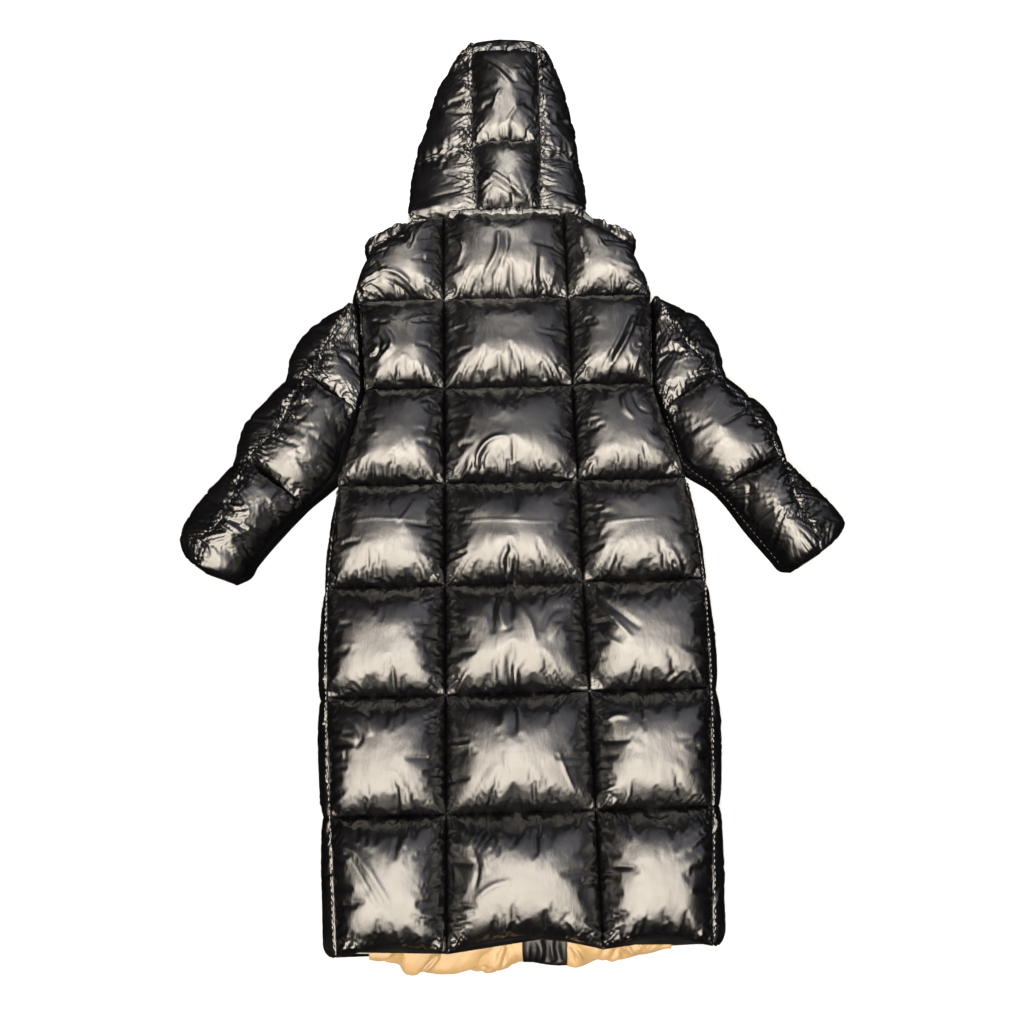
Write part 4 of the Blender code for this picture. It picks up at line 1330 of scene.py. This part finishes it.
def front_rings(side):
    """Each ring is the rolled side, the pressed underside to the closure, and the upper side back to the seam.

    Beside the lining the hem is drawn in, and at the neck all of it slopes."""
    sign, strip = SIGN[side], front_strip(side)
    inner = closure_x(fine_y) + sign * (CLOSURE_HALF + SEAM_GAP)
    below_x = strip[:, -1:, 0] + (inner - strip[:, -1:, 0]) * np.linspace(0, 1, 33)[None, 1:]
    below_z = pressed(below_x, front_y + 0 * below_x, BODY_LINES[1:], 33) + 2.0 * bell(np.abs(below_x - inner), 3.0)
    inside_x = np.concatenate([inner, sign * NECK_SLOPE_FROM + 0 * front_y, sign * side_seam(fine_y)], axis=1)
    inside = stacked(inside_x, front_y, fronts_top(front_y))
    rings = np.concatenate([strip, stacked(below_x, front_y, below_z), inside], axis=1)
    x, y = rings[..., 0], rings[..., 1]
    beside_lining = grown(np.abs(x), 200.0, 216.0) * (1 - grown(np.abs(x), 262.0, 282.0))
    drawn_in = CORNER_DRAWN * beside_lining * (1 - grown(y, FRONT_HEM_Y, FRONT_HEM_Y + CORNER_HIGH))
    rings[..., 1] = sloped(x, y + drawn_in)
    return rings


for side in SIGN:
    quilt(f"front_{side}", front_rings(side))

# %% [markdown]
# The closed zip lies between the fronts, under the coat, behind a padded fly. The fly is a narrow strip with rounded
# edges and a row of stitches along each side.

# %% Dress the closure
FLY_STITCHED = 0.62  # where the fly is stitched, as a share of half its width


def closure_rings(steps=12):
    """A flat strip whose lower edges curve up as the eighth power of the share across."""
    across = np.linspace(-1, 1, steps + 1)[None, :]
    chance = np.random.default_rng(35)
    lift = 3.0 * across**8 + 0.35 * (1 + ripples(across * CLOSURE_HALF, front_y, 22.0, chance)) * (1 - across**2)
    stitched = 1.3 * bell(np.abs(across) - FLY_STITCHED, 0.07)
    below = stacked(closure_x(front_y) + CLOSURE_HALF * across, front_y, np.maximum(0.0, lift + stitched))
    above_x = closure_x(front_y) + CLOSURE_HALF * np.array([[1.0, 0.0, -1.0]])
    return np.concatenate([below, stacked(above_x, front_y, fronts_top(front_y))], axis=1)


dress(close_wall("front_closure_fly", rounded(closure_rings())), SHELL, "front_closure")

# %% [markdown]
# ## Close and dress the sleeves
#
# The upper piece closes straight down to the layer below. The lower piece's ring goes from the elbow seam over the
# outer roll, along the floor, up the narrow inner roll and back under the upper piece.


# %% Dress the sleeves
def inner_roll(side, steps=10):
    """The narrow roll up to the underarm seam. It is nearly upright at the armhole, and round further down."""
    inner, ridge, _ = station(side, fine_v)
    band, drop = underarm(fine_v)
    cell, share = in_cell(SLEEVE_LINES, fine_v)
    across = np.linspace(1, 0, steps + 1)[None, :]
    z = (SEAM_Z - drop) * (1 - across) ** (0.3 + 0.5 * grown(fine_v, 1.0, 1.6))
    rolled = over(side, toward(inner, ridge, (band - band * across)[..., None]), z)
    wavy = gathers(2 * across - 1, share, cell, 2 * band, SLEEVE_PITCH, 36 + SEED_STEP[side])
    rolled = rolled + np.where(fine_v > UNDERARM_V, 0.5, 0.0)[..., None] * (push(rolled, wavy) - rolled)
    rolled[..., 2] = np.maximum(rolled[..., 2], 0.0)
    return rolled


def sleeve_front_rings(side):
    """Each ring is the outer roll, the floor with its grooves, the inner roll, and two points inside the sleeve."""
    inner, ridge, _ = station(side, fine_v)
    band, drop = underarm(fine_v)
    top, rolled = top_of[f"sleeve_{side}_front"], inner_roll(side)
    below = top[:, -1:] + (rolled[:, :1] - top[:, -1:]) * np.linspace(0, 1, 16)[None, 1:-1, None]
    from_line = np.abs(fine_v[..., None] - np.array(SLEEVE_LINES[1:-1], dtype=float)).min(axis=-1) * SLEEVE_PITCH
    below[..., 2] = GROOVE_HIGH * bell(from_line, GROOVE_WIDE) + 0 * below[..., 2]
    seam = over(side, toward(inner, ridge, band[..., None]), INNER_Z - 0.8 * drop)
    return np.concatenate([top, below, rolled, seam, over(side, ridge, INNER_Z)], axis=1)


for side in SIGN:
    quilt(f"sleeve_{side}_back", underneath(top_of[f"sleeve_{side}_back"], INNER_Z + SEAM_GAP, 5))
    quilt(f"sleeve_{side}_front", sleeve_front_rings(side))

# %% [markdown]
# ## Close and dress the hood
#
# The sides close along the face opening, whose two edges meet under the hood. Where the collar passes underneath,
# the sides rest on the collar and not on the floor.


# %% Dress the hood
def hood_side_rings(side):
    """Each ring is the outer roll, the way to the face opening on what lies below, and two points inside the hood."""
    on_collar, top = collar_below(fine_hood_y), top_of[f"hood_{side}"].copy()
    top[..., 2] = np.maximum(top[..., 2], on_collar)
    face = FACE_X + SIGN[side] * SEAM_GAP / 2
    below_x = top[:, -1:, 0] + (face - top[:, -1:, 0]) * np.linspace(0, 1, 15)[None, 1:]
    below = stacked(below_x, fine_hood_y, on_collar)
    seam_x = smooth(HOOD, fine_hood_y, f"seam_{side}")
    inside_x = np.concatenate([face + 0 * seam_x, seam_x], axis=1)
    return np.concatenate([top, below, stacked(inside_x, fine_hood_y, hood_inner_z)], axis=1)


hood_inner_z = HOOD_INNER_Z * crown_fall(fine_hood_y)
quilt("hood_centre", underneath(top_of["hood_centre"], hood_inner_z + SEAM_GAP, 5))
for side in SIGN:
    quilt(f"hood_{side}", hood_side_rings(side))

# %% [markdown]
# ## The collar
#
# The stand collar is folded flat under the hood, and its two ends stick out beside it. They are small, stiff and
# full of seams, so they crinkle more than the panels do. The tube is a rounded rectangle, swept across the coat,
# whose size is multiplied by the crinkles.

# %% Dress the collar
COLLAR = table(
    "x near far high",
    (0.0, NECK_Y + 0.7, 1275.0, COLLAR_Z),
    (NECK_SLOPE_FROM, NECK_Y + 0.7, 1275.0, COLLAR_Z),
    (150.0, 1208.5, 1258.0, COLLAR_Z),
    (173.0, 1195.0, 1233.0, COLLAR_Z),
    (188.0, 1186.0, 1216.0, 54.0),
    (222.0, 1165.5, 1202.0, 57.0),
    (243.0, 1155.0, 1191.0, 51.0),
    (253.0, 1164.0, 1180.0, 40.0),
)


def collar_rings(step=2.0, around=56):
    """A section's half depth times the cosine to the power of 0.6, and its half height times the sine to that of 0.7.

    Both are multiplied by a swell that stays at 1 under the hood and follows the crinkles at the ends."""
    end = COLLAR["x"][-1]
    x = np.arange(-end, end + step / 2, step)[:, None]
    near, far, high = (straight(COLLAR, np.abs(x), name, "x") for name in ("near", "far", "high"))
    angle = 2 * math.pi * (np.arange(around) + 0.5)[None, :] / around
    c, s = np.cos(angle), np.sin(angle)
    chance = np.random.default_rng(41)
    crinkle = 3.2 * np.abs(waves(x + 9 * s + 5 * ripples(x, 20 * c, 30.0, chance), 31.0, chance))
    crinkle = crinkle + 1.2 * ripples(x, 22 * angle, 15.0, chance)
    swell = 1 + grown(np.abs(x), 165, 185) * (crinkle - 2.4) / 26
    y = (near + far) / 2 + (far - near) / 2 * swell * np.sign(c) * np.abs(c) ** 0.6
    z = high / 2 * (1 + swell * np.sign(s) * np.minimum(1, 1.08 * np.abs(s) ** 0.7))
    return stacked(x, y, np.maximum(0.0, z))


dress(close_wall("stand_collar", collar_rings()), SHELL, "collar")

# %% [markdown]
# ## The lining at the hem
#
# Below the back's hem, the inside of the fronts shows: a thin beige lining, which is a little too long and has slid
# down in soft crossing folds, and a black facing over the zip's end. Neither is padded, so each is a single sheet
# that follows a section from inside the coat, over the fronts' hem, to the floor. Folds are pushed out of it, and a
# Solidify modifier gives it the thickness of cloth. The lining is satin: pale, softly shining, with a faint sheen.

# %% Mix the lining's satin
SATIN_BUMPS = [(noise, (130.0, 3.0), 0.4, 0.0008), (weave, (2200.0,), 0.15, 0.0001)]
BEIGE = cloth_finish(
    "beige lining satin",
    ((0.37, 0.24, 0.105), (0.50, 0.33, 0.15)),
    (0.30, 0.40),
    (30.0, 60.0),
    SATIN_BUMPS,
    {"Sheen Weight": 0.25, "Sheen Roughness": 0.4},
)
print("satin with", len(BEIGE.node_tree.nodes), "nodes")

# %% Name the sheets' sizes
LINING_EDGE = table(  # how far the sheet hangs over the hem, across the coat
    "x y",
    (-226.0, -21.5),
    (-205.0, -24.0),
    (-182.0, -29.0),
    (-172.0, -41.0),
    (-125.0, -42.0),
    (-52.0, -42.0),
    (-22.0, -36.0),
    (0.0, -34.0),
    (60.0, -40.0),
    (110.0, -34.0),
    (170.0, -31.0),
    (213.0, -22.0),
)
LINING_TOP, LINING_FOLD, LINING_DEPTH = 36.0, 3.2, 60.0
SECTION_STEPS, SECTION_LENGTH = 90, 130.0
CLOTH_THICKNESS = 0.6
FACING_HALF = 32.0
DEEPEST, HIGHEST = -2.2, 4.5  # limits of the folds in a sheet
print(f"lining from {LINING_EDGE['x'][0]:.0f} to {LINING_EDGE['x'][-1]:.0f} mm")


# %% Cut the sheets
def curve(controls, count):
    """A smooth curve through control points, for many curves at once: cubic, with half the step between a point's
    two neighbours as its slope there. controls is curves, points, Y and Z."""
    k = controls.shape[1]
    slope = np.empty_like(controls)
    slope[:, 1:-1] = (controls[:, 2:] - controls[:, :-2]) / 2
    slope[:, 0], slope[:, -1] = controls[:, 1] - controls[:, 0], controls[:, -1] - controls[:, -2]
    at = np.linspace(0, k - 1, count)
    i = np.minimum(at.astype(int), k - 2)
    return cubic((at - i)[None, :, None], controls[:, i], controls[:, i + 1], slope[:, i], slope[:, i + 1])


def hem_section(x):
    """From inside the coat over the fronts' hem, out to the sheet's edge, and tucked back under it on the floor."""
    edge = smooth(LINING_EDGE, x, "y", "x")
    fold = LINING_FOLD * np.sin(x / 13.0 + 1.3 * np.sin(x / 47.0))
    front, zero = FRONT_HEM_Y - SEAM_GAP, 0 * x
    path = [
        (LINING_DEPTH + zero, INNER_Z - 0.3 + zero),  # inside the coat
        (LINING_DEPTH / 2 + zero, INNER_Z - 1.2 + zero),
        (3.0 + zero, np.minimum(LINING_TOP + fold, INNER_Z - 0.6)),
        (front + 1.0 + zero, LINING_TOP - 6.0 + fold),  # over the fronts' hem
        (np.minimum(edge + 4.0, front - 2.5), 20.0 + 0.7 * fold),
        (edge, 9.0 + zero),  # at the sheet's edge
        (np.minimum(edge + 2.5, front - 1.0), 2.2 + 0.2 * fold),
        (np.minimum(edge + 9.0, front - 0.4), 0.6 + zero),  # tucked back on the floor
    ]
    section = curve(np.stack([np.stack(p, axis=-1) for p in path], axis=1), SECTION_STEPS)
    return np.concatenate([np.broadcast_to(x[:, None, None], (*section.shape[:2], 1)), section], axis=-1)


print("a section has", hem_section(np.zeros(1)).shape[1], "points")


# %% Hang the sheets
def hem_sheet(name, low, high, seed, fold_height, lean):
    """A sheet across the coat from low to high, with wide folds one way and narrow ones the other way across it."""
    x = np.append(np.arange(low, high, 2.0), high)
    grid = hem_section(x)
    chance = np.random.default_rng(seed)
    along = np.linspace(0, SECTION_LENGTH, SECTION_STEPS)[None, :]
    wide = folds(x[:, None] + lean * along, 110.0, chance)
    here = np.clip(0.3 + ripples(x[:, None], along, 110.0, chance), 0, 1)
    narrow = here * folds(x[:, None] - 0.6 * lean * along, 44.0, chance)
    loose = np.clip((8.0 - grid[..., 1]) / 22, 0, 1) * np.clip(grid[..., 2] / 10, 0.15, 1)
    ends = np.clip(np.minimum(x - low, high - x) / 12, 0, 1)[:, None]
    height = np.clip(fold_height * (wide + 0.4 * narrow) + worn(name, grid), DEEPEST, HIGHEST)
    made = push(grid, height * loose * (0.3 + 0.7 * ends))
    made[..., 1] = np.minimum(made[..., 1], grid[..., 1] + 2.0)
    made[..., 2] = np.clip(made[..., 2], 0.6, INNER_Z - 0.3)
    sheet = open_sheet(f"{name}_sheet", made)
    thick = sheet.modifiers.new("thickness of cloth", "SOLIDIFY")
    thick.thickness, thick.offset = CLOTH_THICKNESS * MM, -1.0
    return sheet


facing_low, facing_high = CLOSURE_HEM_X - FACING_HALF, CLOSURE_HEM_X + FACING_HALF
HEM_SHEETS = {
    "lining_left": (LINING_EDGE["x"][0], facing_low - SEAM_GAP, 61, 3.2, 0.9, BEIGE, "lining"),
    "lining_right": (facing_high + SEAM_GAP, LINING_EDGE["x"][-1], 62, 3.0, -0.9, BEIGE, "lining"),
    "facing": (facing_low, facing_high, 63, 0.5, 0.2, TAPE, "shell"),
}
for name, (low, high, seed, height, lean, finish, slot) in HEM_SHEETS.items():
    made = dress(hem_sheet(name, low, high, seed, height, lean), finish, name)

# %% [markdown]
# ## The gathered band at the neck
#
# Between the hood and the top row of the back lies a narrow gathered band, the seam allowance of the neck, which
# catches the light along its whole length. It is a thin tube whose radius is multiplied by close gathers.

# %% Sew in the neck band
NECK_BAND_Z = 64.0


def neck_band(low=-103.0, high=105.0, radius=9.5):
    """A tube along X. The radius swells with gathers a few millimetres long and falls to nothing at both ends."""
    x = np.arange(low, high, 1.2)[:, None]
    chance = np.random.default_rng(71)
    angle = 2 * math.pi * np.arange(20)[None, :] / 20
    ends = dome(2 * (x - low) / (high - low) - 1) ** 0.35
    close = np.abs(waves(x + 9 * np.sin(angle) + 4 * ripples(x, 9 * angle, 30.0, chance), 30.0, chance)) - 0.5
    swell = radius * ends * (1 + 0.2 * close + 0.05 * ripples(x, 9 * angle, 14.0, chance))
    wide, thick = 1.3 * swell * np.cos(angle), 0.55 * swell * np.sin(angle)  # an oval, turned by 30 degrees
    y = NECK_Y - 8.0 + 0.87 * wide - 0.5 * thick + 1.2 * waves(x, 60.0, chance)
    return stacked(x, y, NECK_BAND_Z + NECK_LIFT + 0.5 * wide + 0.87 * thick)


dress(close_wall("neck_band", neck_band()), SHELL)

# %% [markdown]
# ## Topstitching
#
# A pale thread runs along both side seams in long stitches, and a dark one along the right sleeve's inner edge. Each
# stitch is a small capsule that dives into the cloth at both ends. All stitches of a seam are one mesh: the capsule's
# points are worked out once, and then turned and moved to every stitch at the same time.


# %% Place the stitches
def thread(name, colour, roughness):
    """A plain finish with the small bumps of a twisted yarn."""
    made = plain_material(name, colour, roughness)
    tree = made.node_tree
    place = tree.nodes.new("ShaderNodeTexCoord").outputs["Object"]
    twisted = bumps(tree, place, [(noise, (1800.0, 2.0), 0.6, 0.0002)])
    tree.links.new(twisted, tree.nodes["Principled BSDF"].inputs["Normal"])
    return made


PALE_THREAD = thread("pale thread", (0.72, 0.69, 0.64), 0.55)
DARK_THREAD = thread("dark thread", (0.09, 0.085, 0.085), 0.4)
STITCH, STITCH_GAP, THREAD_RADIUS = 5.2, 3.6, 0.55


def evenly(path, step):
    """Points at even distances along a path."""
    run = np.append(0.0, np.cumsum(np.linalg.norm(np.diff(path, axis=0), axis=-1)))
    at = np.arange(0.0, run[-1], step)
    return np.stack([np.interp(at, run, path[:, n]) for n in range(3)], axis=-1)


def stitches(path, seed, steps=6):
    """Capsules along a path, as rings, stitches, points round a ring, and X, Y, Z.

    A ring's radius is a half circle along the stitch, and the rings sink by the square of the share along it."""
    points = evenly(path, STITCH + STITCH_GAP)
    start, end = points[:-1], points[1:]
    forward = (end - start) / np.linalg.norm(end - start, axis=-1, keepdims=True)
    across = np.cross(forward, (0.0, 0.0, 1.0))
    across /= np.linalg.norm(across, axis=-1, keepdims=True)
    up = np.cross(across, forward)
    tilt = np.random.default_rng(seed).uniform(-0.12, 0.12, len(start))[:, None]
    ahead, aside = forward + tilt * across, across - tilt * forward
    share, turn = np.linspace(-1, 1, steps)[:, None], 2 * math.pi * np.arange(steps) / steps
    size = THREAD_RADIUS * np.sqrt(np.maximum(0.06, 1 - share**2))
    sunk = THREAD_RADIUS * (0.55 - 0.9 * share**2)
    x, y, z = size * np.cos(turn), STITCH / 2 * share + 0 * turn, size * np.sin(turn) + sunk
    place = ((start + end) / 2)[None, :, None]
    ways = ((x, aside), (y, ahead), (z, up))
    return place + sum(part[:, None, :, None] * way[None, :, None] for part, way in ways)


print(f"{1000 / (STITCH + STITCH_GAP):.0f} stitches a metre")


# %% Sew
def sew(name, path, material, seed):
    """Sews stitches along a path: one mesh of many closed capsules."""
    rings = stitches(path, seed)
    index = np.arange(rings[..., 0].size).reshape(rings.shape[:-1])
    quads = joined(index, np.roll(index, -1, axis=-1))
    ends = index[0, :, ::-1].tolist() + index[-1].tolist()
    dress(closed_mesh(name, rings.reshape(-1, 3), quads, ends), material)


SIDE_STITCH_TOP = 3 * ROW_PITCH + 8.0
side_stitched = (fine_y[:, 0] > HEM_Y + 6) & (fine_y[:, 0] < SIDE_STITCH_TOP)
for side in SIGN:
    seam = front_rings(side)[side_stitched, 3]
    sew(f"side_topstitch_{side}", seam + (0.0, 0.0, 0.5), PALE_THREAD, 81 + SEED_STEP[side])
sleeve_stitched = (fine_v[:, 0] > 1.05) & (fine_v[:, 0] < 2.93)
sew("sleeve_topstitch", sleeve_front_rings("right")[sleeve_stitched, -5] + (0.0, 0.0, 0.4), DARK_THREAD, 83)
